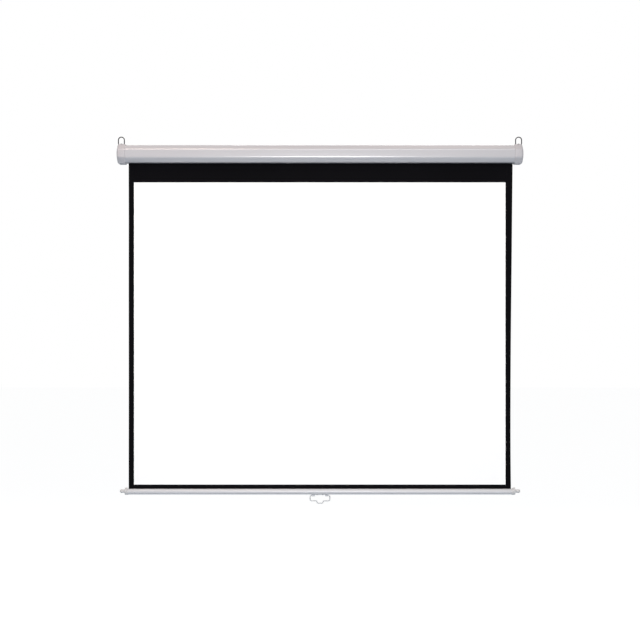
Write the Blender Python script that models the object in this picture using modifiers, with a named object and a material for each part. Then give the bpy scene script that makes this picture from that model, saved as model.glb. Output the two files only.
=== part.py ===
"""Pull down projector screen: an eight-sided casing hung on two rings, a spring roller inside it,
the screen cloth on the roller, and a bottom bar with a wire handle.

Metres, +Z up. X runs along the casing, the viewer stands at -Y, the wall is at +Y. The origin is
midway between the two hanging rings, at the height where a hook bears inside their tops.
"""

import math

import bmesh
import bpy
from mathutils import Matrix, Vector

# The gap that touching pieces keep.
FIT = 0.0003

# Screen cloth: white viewing area with a black border. Its width sets every other length.
VIEW_WIDTH = 1.500
VIEW_HEIGHT = 1.220
SIDE_BORDER = 0.0225
TOP_DROP = 0.1116
BOTTOM_BORDER = 0.0168
CLOTH_THICKNESS = 0.00032
WRAP_TURNS = 1.25
WRAP_GAP = 0.00033

# Casing: rolled steel, eight sides, a slot underneath for the cloth.
CASE_FLATS = 0.070
CASE_WALL = 0.0010
CASE_BEND = 0.0035
SLOT_WIDTH = 0.0100
SLOT_LIP = 0.0050

# End caps: moulded, domed at the end, with a pocket for the casing.
CAP_FLATS = 0.079
CAP_DEPTH = 0.038
CAP_SEAT = 0.015
CAP_END_WALL = 0.0080
CAP_SHOULDER = 0.0030
CAP_CORNER = 0.0045
CAP_LIP = 0.0006
DOME_DEPTH = 0.012
DOME_POWER = 3.0
DOME_LAST_TURN = math.radians(20)
DOME_STEPS = 6

# Hanging rings and the clips that hold them.
RING_WIRE = 0.0040
RING_WIDTH = 0.0240
RING_HEIGHT = 0.0299
RING_FOOT_RADIUS = 0.0040
RING_INSET = 0.0168
RING_SETBACK = 0.0120
RING_LIFT = 0.0004
RING_ROUNDNESS = 0.99
CLIP_WIDTH = 0.0070
CLIP_STEEL = 0.0012
CLIP_FLANGE = 0.0110

# Roller: longer than the cloth is wide, and shorter than the casing with its caps.
ROLLER_SETBACK = -0.0080
ROLLER_DIAMETER = 0.0280
ROLLER_WALL = 0.0008
ROLLER_MARGIN = 0.0090
ROLLER_END_GAP = 0.0380

# Plugs, shaft, spring and lock inside the roller.
PLUG_FLANGE = 0.0040
PLUG_DEPTH = 0.0250
SHAFT_DIAMETER = 0.0080
SHAFT_LENGTH = 0.2220
TANG_THICKNESS = 0.0050
TANG_LENGTH = 0.0120
SPRING_WIRE = 0.0016
SPRING_DIAMETER = 0.0200
SPRING_TURNS = 24
SPRING_PITCH = 0.0044
SPRING_TAIL = 0.0040
COLLAR_LENGTH = 0.0120
COLLAR_DIAMETER = 0.0240
BEARING_LENGTH = 0.0120
BEARING_INSET = 0.0020
HUB_DIAMETER = 0.0180
HUB_THICKNESS = 0.0050
HUB_STANDOFF = 0.0020
NOTCH_COUNT = 4
NOTCH_DEPTH = 0.0028
NOTCH_WIDTH = 0.0060
NOTCH_STEPS = 2
PAWL_PIN_DIAMETER = 0.0030
PAWL_PIN_HEAD = 0.0052
PAWL_BOSS = 0.0064
PAWL_ARM = 0.0024
PAWL_REACH = 0.0085
PAWL_TOOTH = 0.0024
PAWL_TOOTH_HEIGHT = 0.0026
PAWL_RELEASE = math.radians(24)

# End brackets, bush and screws.
BRACKET_STEEL = 0.0020
BRACKET_SCREW_SPAN = 0.0360
BRACKET_SCREW_SETBACK = 0.0100
BUSH_WALL = 0.0020
BUSH_FLANGE = 0.0018
BUSH_FLANGE_WIDTH = 0.0030
IDLE_PIN_COLLAR = 0.0020
SCREW_SHANK = 0.0030
SCREW_HEAD = 0.0058
SCREW_HEAD_HEIGHT = 0.0018
SCREW_CROWN = 0.7
CAP_SCREW_LENGTH = 0.0070
CAP_SCREW_SPAN = 0.0160
SHORT_SCREW_LENGTH = 0.0050

# Bottom bar, its end plugs and the hem rod.
BAR_DIAMETER = 0.0230
BAR_WALL = 0.0012
BAR_SLOT = 0.0024
BAR_MARGIN = 0.0056
ROD_DIAMETER = 0.0060
STUB_LIFT = 0.0020
STUB_NECK = 0.0135
STUB_BALL = 0.0152
STUB_BALL_STEPS = 6
STUB_BALL_SIDE = 0.2
STUB_LENGTH = 0.0210
FLANGE_DIAMETER = 0.0290
FLANGE_THICKNESS = 0.0088
FLANGE_EDGE = 0.0012
CUP_DEPTH = 0.0044
CUP_WALL = 0.0008
BARREL_DEPTH = 0.0180

# Pull handle and its bracket.
HANDLE_WIRE = 0.0038
HANDLE_WIDTH = 0.0800
HANDLE_SHOULDER = 0.0220
HANDLE_DEPTH = 0.0316
HANDLE_WAIST = 0.0290
HANDLE_GRIP = 0.0225
HANDLE_CORNER = 0.0070
HANDLE_BEND = 0.0050
PIVOT_DROP = 0.0153
KNUCKLE_DIAMETER = 0.0068
KNUCKLE_LENGTH = 0.0140
KNUCKLE_SPAN = 0.0540
SADDLE_STEEL = 0.0010
SADDLE_LENGTH = 0.0700
SADDLE_SPREAD = math.radians(100)
HANDLE_SCREW_SPAN = 0.0214

# Smoothness of round shapes.
ROUND_STEPS = 28
SMALL_STEPS = 16
CORNER_STEPS = 3
WIRE_SIDES = 2
BEND_STEPS = 6
SPRING_POINTS = 10
SPRING_SIDES = 1
OCTAGON = 8
HALF_SIDE = math.pi / OCTAGON
OVERCUT = 0.0010
MERGE_DISTANCE = 0.00001
SHARP_ANGLE = math.radians(35)
EMPTY_SIZE = 0.03

# Places worked out from the sizes above, measured from the casing's axis.
cloth_half = VIEW_WIDTH / 2 + SIDE_BORDER
roller_half = cloth_half + ROLLER_MARGIN
half_overall = roller_half + ROLLER_END_GAP
bar_half = cloth_half + BAR_MARGIN
cap_start = half_overall - CAP_DEPTH
case_half = cap_start + CAP_SEAT
cap_wall_face = half_overall - CAP_END_WALL
hollow_flats = CASE_FLATS - 2 * CAP_SHOULDER
ring_z = CAP_FLATS / 2 + RING_LIFT + RING_WIRE / 2
ring_x = half_overall - RING_INSET
case_y = -RING_SETBACK
case_z = -(ring_z + RING_HEIGHT - RING_WIRE / 2)
roller_radius = ROLLER_DIAMETER / 2
bore_radius = roller_radius - ROLLER_WALL
shaft_radius = SHAFT_DIAMETER / 2
plug_radius = bore_radius - FIT
plug_face = roller_half + FIT + PLUG_FLANGE
wrap_pitch = CLOTH_THICKNESS + WRAP_GAP
cloth_radius = roller_radius + FIT + CLOTH_THICKNESS / 2 + wrap_pitch * WRAP_TURNS
cloth_y = ROLLER_SETBACK + cloth_radius
bar_radius = BAR_DIAMETER / 2
bar_drop = TOP_DROP + VIEW_HEIGHT + BOTTOM_BORDER + bar_radius
bar_bore = bar_radius - BAR_WALL
bracket_face = cap_wall_face - FIT - BRACKET_STEEL
shaft_end = cap_wall_face - FIT
hub_face = plug_face + HUB_STANDOFF
pawl_pin_y = PAWL_REACH
pawl_pin_z = -(HUB_DIAMETER / 2 + FIT + PAWL_ARM / 2)
knuckle_x = KNUCKLE_SPAN / 2
screw_hole = SCREW_SHANK / 2 + FIT
cap_screw_x = cap_start + CAP_SEAT / 2
clip_screw_y = RING_SETBACK - CLIP_FLANGE + SCREW_HEAD / 2
rear_hole_floor = CASE_FLATS / 4

SIDES = (("left", -1), ("right", 1))
ROWS = (("lower", -1), ("upper", 1))

ALONG_RIGHT = (0, math.pi / 2, 0)
ALONG_LEFT = (0, -math.pi / 2, 0)
SECTION_TURN = (math.pi / 2, 0, math.pi / 2)
UPWARD = (0, 0, 0)
REARWARD = (-math.pi / 2, 0, 0)
DOWNWARD = (math.pi, 0, 0)


def clear_scene():
    for obj in list(bpy.data.objects):
        bpy.data.objects.remove(obj, do_unlink=True)


def make_collection(name):
    found = bpy.data.collections.new(name)
    bpy.context.scene.collection.children.link(found)
    return found


def make_material(name, colour, roughness, metallic):
    made = bpy.data.materials.new(name)
    made.use_nodes = True
    shader = made.node_tree.nodes["Principled BSDF"]
    shader.inputs["Base Color"].default_value = (*colour, 1)
    shader.inputs["Roughness"].default_value = roughness
    shader.inputs["Metallic"].default_value = metallic
    made.diffuse_color = (*colour, 1)
    return made


def add_empty(name, location, parent=None):
    empty = bpy.data.objects.new(name, None)
    empty.empty_display_size = EMPTY_SIZE
    empty.location = location
    empty.parent = parent
    parts.objects.link(empty)
    return empty


def place(obj, material, parent, location=(0, 0, 0), rotation=(0, 0, 0)):
    """Put a finished shape in the parts collection under its body's empty."""
    parts.objects.link(obj)
    obj.data.materials.append(material)
    obj.parent = parent
    obj.location = location
    obj.rotation_euler = rotation
    if obj.type == "MESH":
        obj.data.shade_smooth()
        obj.data.set_sharp_from_angle(angle=SHARP_ANGLE)
    return obj


def place_cutter(obj, parent, location=(0, 0, 0), rotation=(0, 0, 0)):
    cutters.objects.link(obj)
    obj.parent = parent
    obj.location = location
    obj.rotation_euler = rotation
    obj.hide_render = True
    obj.display_type = "WIRE"
    return obj


def boolean(target, other, operation, solver="EXACT"):
    """Cut or join with another closed shape; bent and domed walls are cut with "MANIFOLD"."""
    modifier = target.modifiers.new(other.name, "BOOLEAN")
    modifier.operation = operation
    modifier.solver = solver
    modifier.object = other


def filleted(points, radii, closed):
    """The points with each corner replaced by an arc of its radius; a radius of 0 keeps the corner."""
    path = []
    count = len(points)
    for index, (corner, radius) in enumerate(zip(points, radii)):
        here = Vector(corner)
        at_end = not closed and index in (0, count - 1)
        if radius == 0 or at_end:
            path.append(here)
            continue
        back = (Vector(points[index - 1]) - here).normalized()
        ahead = (Vector(points[(index + 1) % count]) - here).normalized()
        half_angle = back.angle(ahead) / 2
        reach = radius / math.tan(half_angle)
        centre = here + (back + ahead).normalized() * (radius / math.sin(half_angle))
        start = (here + back * reach - centre).normalized()
        end = (here + ahead * reach - centre).normalized()
        for step in range(BEND_STEPS + 1):
            path.append(centre + start.slerp(end, step / BEND_STEPS) * radius)
    return path


def turned(name, outer, bore=0.0, steps=ROUND_STEPS):
    """A shape turned about its own Z; outer lists (radius, height) from the top to the bottom."""
    top = outer[0][1]
    bottom = outer[-1][1]
    profile = [(bore, top), *outer, (bore, bottom)]
    mesh = bpy.data.meshes.new(name)
    bm = bmesh.new()
    ring = [bm.verts.new((radius, 0, height)) for radius, height in profile]
    for first, second in zip(ring, ring[1:]):
        bm.edges.new((first, second))
    if bore > 0:
        bm.edges.new((ring[-1], ring[0]))
    bm.to_mesh(mesh)
    bm.free()
    obj = bpy.data.objects.new(name, mesh)
    screw = obj.modifiers.new("turn", "SCREW")
    screw.axis = "Z"
    screw.steps = steps
    screw.render_steps = steps
    screw.use_merge_vertices = True
    screw.merge_threshold = MERGE_DISTANCE
    screw.use_smooth_shade = True
    return obj


def rod(name, radius, top, bottom, steps=SMALL_STEPS):
    return turned(name, [(radius, top), (radius, bottom)], steps=steps)


def section(name, loops, half_length):
    """A flat outline in depth and height, drawn out along the casing."""
    curve = bpy.data.curves.new(name, "CURVE")
    curve.dimensions = "2D"
    curve.fill_mode = "BOTH"
    curve.extrude = half_length
    for loop in loops:
        spline = curve.splines.new("POLY")
        spline.points.add(len(loop) - 1)
        for point, place_at in zip(spline.points, loop):
            point.co = (place_at[0], place_at[1], 0, 1)
        spline.use_cyclic_u = True
    return bpy.data.objects.new(name, curve)


def wire(name, points, radius, closed=False, sides=WIRE_SIDES):
    curve = bpy.data.curves.new(name, "CURVE")
    curve.dimensions = "3D"
    curve.bevel_depth = radius
    curve.bevel_resolution = sides
    curve.use_fill_caps = not closed
    spline = curve.splines.new("POLY")
    spline.points.add(len(points) - 1)
    for point, place_at in zip(spline.points, points):
        point.co = (*place_at, 1)
    spline.use_cyclic_u = closed
    return bpy.data.objects.new(name, curve)


def as_mesh(curve_object):
    """The curve's solid as a mesh object, so that it can be cut."""
    parts.objects.link(curve_object)
    graph = bpy.context.evaluated_depsgraph_get()
    evaluated = curve_object.evaluated_get(graph)
    mesh = bpy.data.meshes.new_from_object(evaluated)
    bm = bmesh.new()
    bm.from_mesh(mesh)
    bmesh.ops.remove_doubles(bm, verts=bm.verts[:], dist=MERGE_DISTANCE)
    bmesh.ops.recalc_face_normals(bm, faces=bm.faces[:])
    bm.to_mesh(mesh)
    bm.free()
    name = curve_object.name
    bpy.data.objects.remove(curve_object, do_unlink=True)
    return bpy.data.objects.new(name, mesh)


def cut_across(mesh, distance):
    """Edges across a long section's walls, so that holes near its ends are cut in short faces."""
    bm = bmesh.new()
    bm.from_mesh(mesh)
    for side in (-1, 1):
        bmesh.ops.bisect_plane(
            bm,
            geom=bm.verts[:] + bm.edges[:] + bm.faces[:],
            plane_co=(0, 0, side * distance),
            plane_no=(0, 0, 1),
        )
    bm.to_mesh(mesh)
    bm.free()


def octagon_loft(name, stations, corner, side):
    """Eight-sided rings joined end to end; stations list (distance from the middle, across flats)."""
    first_x, first_flats = stations[0]
    bm = bmesh.new()
    upright = Matrix.Rotation(math.pi / 2, 4, "Y") @ Matrix.Rotation(HALF_SIDE, 4, "Z")
    bmesh.ops.create_circle(
        bm,
        cap_ends=True,
        segments=OCTAGON,
        radius=first_flats / 2 / math.cos(HALF_SIDE),
        matrix=Matrix.Translation((side * first_x, 0, 0)) @ upright,
    )
    bmesh.ops.bevel(
        bm,
        geom=bm.verts[:],
        offset=corner * math.tan(HALF_SIDE),
        offset_type="OFFSET",
        segments=CORNER_STEPS,
        profile=0.5,
        affect="VERTICES",
        material=-1,
    )
    face = bm.faces[:][0]
    last_x, last_flats = first_x, first_flats
    for index, (x, flats) in enumerate(stations[1:]):
        grown = bmesh.ops.extrude_face_region(bm, geom=[face])["geom"]
        if index > 0:
            bmesh.ops.delete(bm, geom=[face], context="FACES_ONLY")
        ring = [item for item in grown if isinstance(item, bmesh.types.BMVert)]
        face = next(item for item in grown if isinstance(item, bmesh.types.BMFace))
        spread = flats / last_flats
        bmesh.ops.scale(bm, vec=(1, spread, spread), verts=ring)
        bmesh.ops.translate(bm, vec=(side * (x - last_x), 0, 0), verts=ring)
        last_x, last_flats = x, flats
    bmesh.ops.recalc_face_normals(bm, faces=bm.faces[:])
    mesh = bpy.data.meshes.new(name)
    bm.to_mesh(mesh)
    bm.free()
    return bpy.data.objects.new(name, mesh)


def box(name, low, high):
    bm = bmesh.new()
    size = [top - bottom for bottom, top in zip(low, high)]
    middle = [(top + bottom) / 2 for bottom, top in zip(low, high)]
    bmesh.ops.create_cube(bm, size=1, matrix=Matrix.Translation(middle) @ Matrix.Diagonal((*size, 1)))
    mesh = bpy.data.meshes.new(name)
    bm.to_mesh(mesh)
    bm.free()
    return bpy.data.objects.new(name, mesh)


def octagon_path(flats, bend):
    """Half-open path of an eight-sided outline, from its bottom front corner over the top to the rear."""
    reach = (flats / 2 - bend) / math.cos(HALF_SIDE)
    path = []
    for corner in range(OCTAGON):
        middle = -math.pi / 2 - HALF_SIDE - 2 * HALF_SIDE * corner
        centre = (reach * math.cos(middle), reach * math.sin(middle))
        for step in range(CORNER_STEPS + 1):
            turn = middle + HALF_SIDE - 2 * HALF_SIDE * step / CORNER_STEPS
            path.append((centre[0] + bend * math.cos(turn), centre[1] + bend * math.sin(turn)))
    return path


def arc(radius, start, end, steps, centre=(0, 0)):
    """Points (depth, height) on an arc; angles run from the rear towards the top."""
    points = []
    for step in range(steps + 1):
        turn = start + (end - start) * step / steps
        points.append((centre[0] + radius * math.cos(turn), centre[1] + radius * math.sin(turn)))
    return points


def add_casing():
    bottom = -CASE_FLATS / 2
    front = cloth_y - SLOT_WIDTH / 2
    rear = cloth_y + SLOT_WIDTH / 2
    lip_top = bottom + SLOT_LIP
    outer = octagon_path(CASE_FLATS, CASE_BEND)
    inner = octagon_path(CASE_FLATS - 2 * CASE_WALL, CASE_BEND - CASE_WALL)
    rear_lip = [
        (rear, bottom),
        (rear, lip_top),
        (rear + CASE_WALL, lip_top),
        (rear + CASE_WALL, bottom + CASE_WALL),
    ]
    front_lip = [
        (front - CASE_WALL, bottom + CASE_WALL),
        (front - CASE_WALL, lip_top),
        (front, lip_top),
        (front, bottom),
    ]
    outline = outer + rear_lip + inner[::-1] + front_lip
    casing = as_mesh(section("casing_tube", [outline], case_half))
    cut_across(casing.data, case_half - 2 * CAP_SEAT)
    place(casing, painted_steel, housing, rotation=SECTION_TURN)
    for side_name, side in SIDES:
        for row_name, row in ROWS:
            rear_hole_top = CASE_FLATS / 2 + OVERCUT
            hole = rod(f"case_hole_{side_name}_{row_name}", screw_hole, rear_hole_top, rear_hole_floor)
            location = (side * cap_screw_x, 0, row * CAP_SCREW_SPAN / 2)
            boolean(casing, place_cutter(hole, housing, location, REARWARD), "DIFFERENCE", "MANIFOLD")


def dome_stations():
    """The rounded end of a cap, from its flat sides to the flat middle of the end."""
    stations = []
    full = math.cos(DOME_LAST_TURN) ** (2 / DOME_POWER)
    for step in range(DOME_STEPS + 1):
        turn = math.pi / 2 - (math.pi / 2 - DOME_LAST_TURN) * step / DOME_STEPS
        bulge = math.cos(turn) ** (2 / DOME_POWER) / full if step else 0.0
        flats = CAP_FLATS * math.sin(turn) ** (2 / DOME_POWER)
        stations.append((half_overall - DOME_DEPTH * (1 - bulge), flats))
    return stations


def add_end_cap(side_name, side):
    stations = [(cap_start, CAP_FLATS - 2 * CAP_LIP), (cap_start + CAP_LIP, CAP_FLATS), *dome_stations()]
    cap = octagon_loft(f"end_cap_{side_name}", stations, CAP_CORNER, side)
    place(cap, cap_plastic, housing)
    seat_end = case_half + FIT
    pocket_flats = CASE_FLATS + 2 * FIT
    pocket = octagon_loft(
        f"cap_pocket_{side_name}",
        [(cap_start - OVERCUT, pocket_flats), (seat_end, pocket_flats)],
        CASE_BEND + FIT,
        side,
    )
    boolean(cap, place_cutter(pocket, housing), "DIFFERENCE", "MANIFOLD")
    hollow = octagon_loft(
        f"cap_hollow_{side_name}",
        [(cap_start - OVERCUT, hollow_flats), (cap_wall_face, hollow_flats)],
        CASE_BEND,
        side,
    )
    boolean(cap, place_cutter(hollow, housing), "DIFFERENCE", "MANIFOLD")
    for row_name, row in ROWS:
        add_cap_screw(cap, side_name, side, row_name, row)
        add_bracket_screw(cap, side_name, side, row_name, row)


def pan_screw(name, length, head_base):
    """A screw along its own Z, head upwards; head_base is the height of the head's underside."""
    top = head_base + SCREW_HEAD_HEIGHT
    head_radius = SCREW_HEAD / 2
    crown = head_radius * SCREW_CROWN
    profile = [
        (crown, top),
        (head_radius, top - SCREW_HEAD_HEIGHT / 2),
        (head_radius, head_base),
        (SCREW_SHANK / 2, head_base),
        (SCREW_SHANK / 2, head_base - length),
    ]
    return turned(name, profile, steps=SMALL_STEPS)


def add_cap_screw(cap, side_name, side, row_name, row):
    location = (side * cap_screw_x, 0, row * CAP_SCREW_SPAN / 2)
    sunk = CAP_FLATS / 2 - SCREW_HEAD_HEIGHT - FIT
    head_hole = SCREW_HEAD / 2 + FIT
    hole_profile = [
        (head_hole, CAP_FLATS / 2 + OVERCUT),
        (head_hole, sunk - FIT),
        (screw_hole, sunk - FIT),
        (screw_hole, rear_hole_floor),
    ]
    hole = turned(f"cap_screw_hole_{side_name}_{row_name}", hole_profile, steps=SMALL_STEPS)
    boolean(cap, place_cutter(hole, housing, location, REARWARD), "DIFFERENCE", "MANIFOLD")
    screw = pan_screw(f"cap_screw_{side_name}_{row_name}", CAP_SCREW_LENGTH, sunk)
    place(screw, zinc_steel, housing, location, REARWARD)


def add_bracket_screw(cap, side_name, side, row_name, row):
    """A screw that points out along the casing, through the bracket into the cap's end wall."""
    location = (0, BRACKET_SCREW_SETBACK, row * BRACKET_SCREW_SPAN / 2)
    inward = ALONG_LEFT if side > 0 else ALONG_RIGHT
    head_base = FIT - bracket_face
    hole = rod(
        f"bracket_screw_hole_{side_name}_{row_name}",
        screw_hole,
        OVERCUT - cap_wall_face,
        head_base - SHORT_SCREW_LENGTH - FIT,
    )
    boolean(cap, place_cutter(hole, housing, location, inward), "DIFFERENCE", "MANIFOLD")
    screw = pan_screw(f"bracket_screw_{side_name}_{row_name}", SHORT_SCREW_LENGTH, head_base)
    place(screw, zinc_steel, housing, location, inward)


def add_bracket(side_name, side):
    outer_face = bracket_face + BRACKET_STEEL
    flats = hollow_flats - 2 * FIT
    bracket = octagon_loft(
        f"roller_bracket_{side_name}", [(bracket_face, flats), (outer_face, flats)], CASE_BEND, side
    )
    place(bracket, zinc_steel, housing)
    for row_name, row in ROWS:
        hole = rod(
            f"bracket_hole_{side_name}_{row_name}",
            screw_hole,
            side * bracket_face + BRACKET_STEEL + OVERCUT,
            side * bracket_face - BRACKET_STEEL - OVERCUT,
        )
        location = (0, BRACKET_SCREW_SETBACK, row * BRACKET_SCREW_SPAN / 2)
        boolean(bracket, place_cutter(hole, housing, location, ALONG_RIGHT), "DIFFERENCE")
    return bracket


def add_hanging_ring(side_name, side):
    """The ring's origin is on its hinge axis, the straight foot that the clip holds."""
    half = RING_WIDTH / 2
    corners = [(-half, 0, 0), (half, 0, 0), (half, 0, RING_HEIGHT), (-half, 0, RING_HEIGHT)]
    top_radius = half * RING_ROUNDNESS
    radii = [RING_FOOT_RADIUS, RING_FOOT_RADIUS, top_radius, top_radius]
    ring = wire(f"hanging_ring_{side_name}", filleted(corners, radii, True), RING_WIRE / 2, closed=True)
    axis = add_empty(f"ring_axis_{side_name}", (side * ring_x, RING_SETBACK, ring_z), housing)
    place(ring, dark_zinc, axis)


def add_ring_clip(side_name, side):
    """A strap bent over the ring's foot, with a flange that lies on the cap's top."""
    inner = RING_WIRE / 2 + FIT
    outer = inner + CLIP_STEEL
    foot = CAP_FLATS / 2 + FIT - ring_z
    flange_end = -CLIP_FLANGE
    strap = [
        (outer, foot),
        *arc(outer, 0, math.pi, ROUND_STEPS // 2),
        (-outer, foot + CLIP_STEEL),
        (flange_end, foot + CLIP_STEEL),
        (flange_end, foot),
        (-inner, foot),
        *arc(inner, math.pi, 0, ROUND_STEPS // 2),
        (inner, foot),
    ]
    clip = as_mesh(section(f"ring_clip_{side_name}", [strap], CLIP_WIDTH / 2))
    place(clip, dark_zinc, housing, (side * ring_x, RING_SETBACK, ring_z), SECTION_TURN)
    cap = bpy.data.objects[f"end_cap_{side_name}"]
    location = (side * ring_x, clip_screw_y, 0)
    head_base = CAP_FLATS / 2 + 2 * FIT + CLIP_STEEL
    hole_floor = head_base - SHORT_SCREW_LENGTH - OVERCUT
    hole = rod(f"clip_hole_{side_name}", screw_hole, head_base + OVERCUT, hole_floor)
    place_cutter(hole, housing, location, UPWARD)
    boolean(clip, hole, "DIFFERENCE")
    boolean(cap, hole, "DIFFERENCE", "MANIFOLD")
    screw = pan_screw(f"clip_screw_{side_name}", SHORT_SCREW_LENGTH, head_base)
    place(screw, dark_zinc, housing, location, UPWARD)


def add_spring_shaft():
    """Fixed round bar on the roller's axis at the left, with two flats in the left bracket's slot."""
    shaft_start = shaft_end - SHAFT_LENGTH
    shaft = rod("spring_shaft", shaft_radius, shaft_end, shaft_start, ROUND_STEPS)
    place(shaft, zinc_steel, roller_line, rotation=ALONG_LEFT)
    for side_name, side in (("front", -1), ("rear", 1)):
        near = side * TANG_THICKNESS / 2
        far = side * (shaft_radius + OVERCUT)
        flat = box(
            f"tang_flat_{side_name}",
            (-shaft_end - OVERCUT, min(near, far), -shaft_radius - OVERCUT),
            (-shaft_end + TANG_LENGTH, max(near, far), shaft_radius + OVERCUT),
        )
        boolean(shaft, place_cutter(flat, roller_line), "DIFFERENCE")
    slot = box(
        "tang_slot",
        (-cap_wall_face, -TANG_THICKNESS / 2 - FIT, -shaft_radius - FIT),
        (-bracket_face + OVERCUT, TANG_THICKNESS / 2 + FIT, shaft_radius + FIT),
    )
    left_bracket = bpy.data.objects["roller_bracket_left"]
    boolean(left_bracket, place_cutter(slot, roller_line), "DIFFERENCE")


def add_ratchet_hub():
    """Round hub fixed on the shaft, with square notches in its rim for the pawl."""
    rim = HUB_DIAMETER / 2
    floor = rim - NOTCH_DEPTH
    half_notch = math.asin(NOTCH_WIDTH / 2 / rim)
    floor_half = math.asin(NOTCH_WIDTH / 2 / floor)
    outline = []
    for notch in range(NOTCH_COUNT):
        middle = 2 * math.pi * notch / NOTCH_COUNT - math.pi / 2
        following = middle + 2 * math.pi / NOTCH_COUNT
        outline += arc(floor, middle - floor_half, middle + floor_half, NOTCH_STEPS)
        outline += arc(rim, middle + half_notch, following - half_notch, BEND_STEPS)
    bore = arc(shaft_radius + FIT, 0, 2 * math.pi, SMALL_STEPS)[:-1]
    hub = section("ratchet_hub", [outline, bore], HUB_THICKNESS / 2)
    place(hub, zinc_steel, roller_line, (-hub_face - HUB_THICKNESS / 2, 0, 0), SECTION_TURN)


def add_spring_collar(collar_face):
    """Collar fixed on the shaft, whose ring groove holds the inner end of the spring."""
    groove_inner = SPRING_DIAMETER / 2 - SPRING_WIRE / 2 - FIT
    groove_outer = SPRING_DIAMETER / 2 + SPRING_WIRE / 2 + FIT
    floor = collar_face - SPRING_TAIL - 2 * FIT
    profile = [
        (groove_inner, collar_face),
        (groove_inner, floor),
        (groove_outer, floor),
        (groove_outer, collar_face),
        (COLLAR_DIAMETER / 2, collar_face),
        (COLLAR_DIAMETER / 2, collar_face - COLLAR_LENGTH),
    ]
    collar = turned("spring_collar", profile, bore=shaft_radius + FIT)
    place(collar, black_plastic, roller_line, rotation=ALONG_LEFT)


def add_torsion_spring(start):
    """Coil round the shaft, with a straight tail at each end, wound from the lock head inwards."""
    coil_length = SPRING_TURNS * SPRING_PITCH
    radius = SPRING_DIAMETER / 2
    points = [(radius, 0, start + SPRING_TAIL)]
    for index in range(SPRING_TURNS * SPRING_POINTS + 1):
        turn = 2 * math.pi * index / SPRING_POINTS
        share = index / (SPRING_TURNS * SPRING_POINTS)
        points.append((radius * math.cos(turn), radius * math.sin(turn), start - coil_length * share))
    points.append((radius, 0, start - coil_length - SPRING_TAIL))
    spring = wire("torsion_spring", points, SPRING_WIRE / 2, sides=SPRING_SIDES)
    place(spring, spring_steel, roller_axis, rotation=ALONG_LEFT)
    return start - coil_length


def add_lock_head():
    """Left end plug: turns on the shaft, holds the spring's outer end and carries the pawl's pin."""
    inner_end = roller_half - PLUG_DEPTH
    profile = [
        (roller_radius, plug_face),
        (roller_radius, roller_half + FIT),
        (plug_radius, roller_half + FIT),
        (plug_radius, inner_end),
    ]
    head = turned("lock_head", profile, bore=shaft_radius + FIT)
    place(head, black_plastic, roller_axis, rotation=ALONG_LEFT)
    tail_hole = rod(
        "spring_tail_hole",
        SPRING_WIRE / 2 + FIT,
        inner_end + SPRING_TAIL + FIT,
        inner_end - OVERCUT,
        SMALL_STEPS // 2,
    )
    place_cutter(tail_hole, roller_axis, (0, 0, SPRING_DIAMETER / 2), ALONG_LEFT)
    boolean(head, tail_hole, "DIFFERENCE")
    pin_floor = plug_face - PLUG_FLANGE
    pin_hole = rod("pawl_pin_hole", PAWL_PIN_DIAMETER / 2 + FIT, plug_face + OVERCUT, pin_floor - FIT)
    place_cutter(pin_hole, roller_axis, (0, pawl_pin_y, pawl_pin_z), ALONG_LEFT)
    boolean(head, pin_hole, "DIFFERENCE")
    head_base = hub_face + HUB_THICKNESS + FIT
    pin_profile = [
        (PAWL_PIN_HEAD / 2, head_base + SCREW_HEAD_HEIGHT / 2),
        (PAWL_PIN_HEAD / 2, head_base),
        (PAWL_PIN_DIAMETER / 2, head_base),
        (PAWL_PIN_DIAMETER / 2, pin_floor),
    ]
    pin = turned("pawl_pin", pin_profile, steps=SMALL_STEPS)
    place(pin, zinc_steel, roller_axis, (0, pawl_pin_y, pawl_pin_z), ALONG_LEFT)
    return inner_end


def add_lock_pawl():
    """Drawn as it lies in a notch, about its pin, then let down clear of the hub."""
    boss = PAWL_BOSS / 2
    arm = PAWL_ARM / 2
    tip = -(PAWL_REACH + PAWL_TOOTH / 2)
    arm_turn = math.asin(arm / boss)
    outline = [
        *arc(boss, math.pi + arm_turn, 3 * math.pi - arm_turn, ROUND_STEPS // 2),
        (tip + PAWL_TOOTH, arm),
        (tip + PAWL_TOOTH, arm + PAWL_TOOTH_HEIGHT),
        (tip, arm + PAWL_TOOTH_HEIGHT),
        (tip, -arm),
    ]
    bore = arc(PAWL_PIN_DIAMETER / 2 + FIT, 0, 2 * math.pi, SMALL_STEPS)[:-1]
    pawl = section("lock_pawl", [outline, bore], HUB_THICKNESS / 2)
    axis = add_empty("pawl_axis", (-hub_face - HUB_THICKNESS / 2, pawl_pin_y, pawl_pin_z), roller_axis)
    axis.rotation_euler = (PAWL_RELEASE, 0, 0)
    place(pawl, zinc_steel, axis, rotation=SECTION_TURN)


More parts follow.
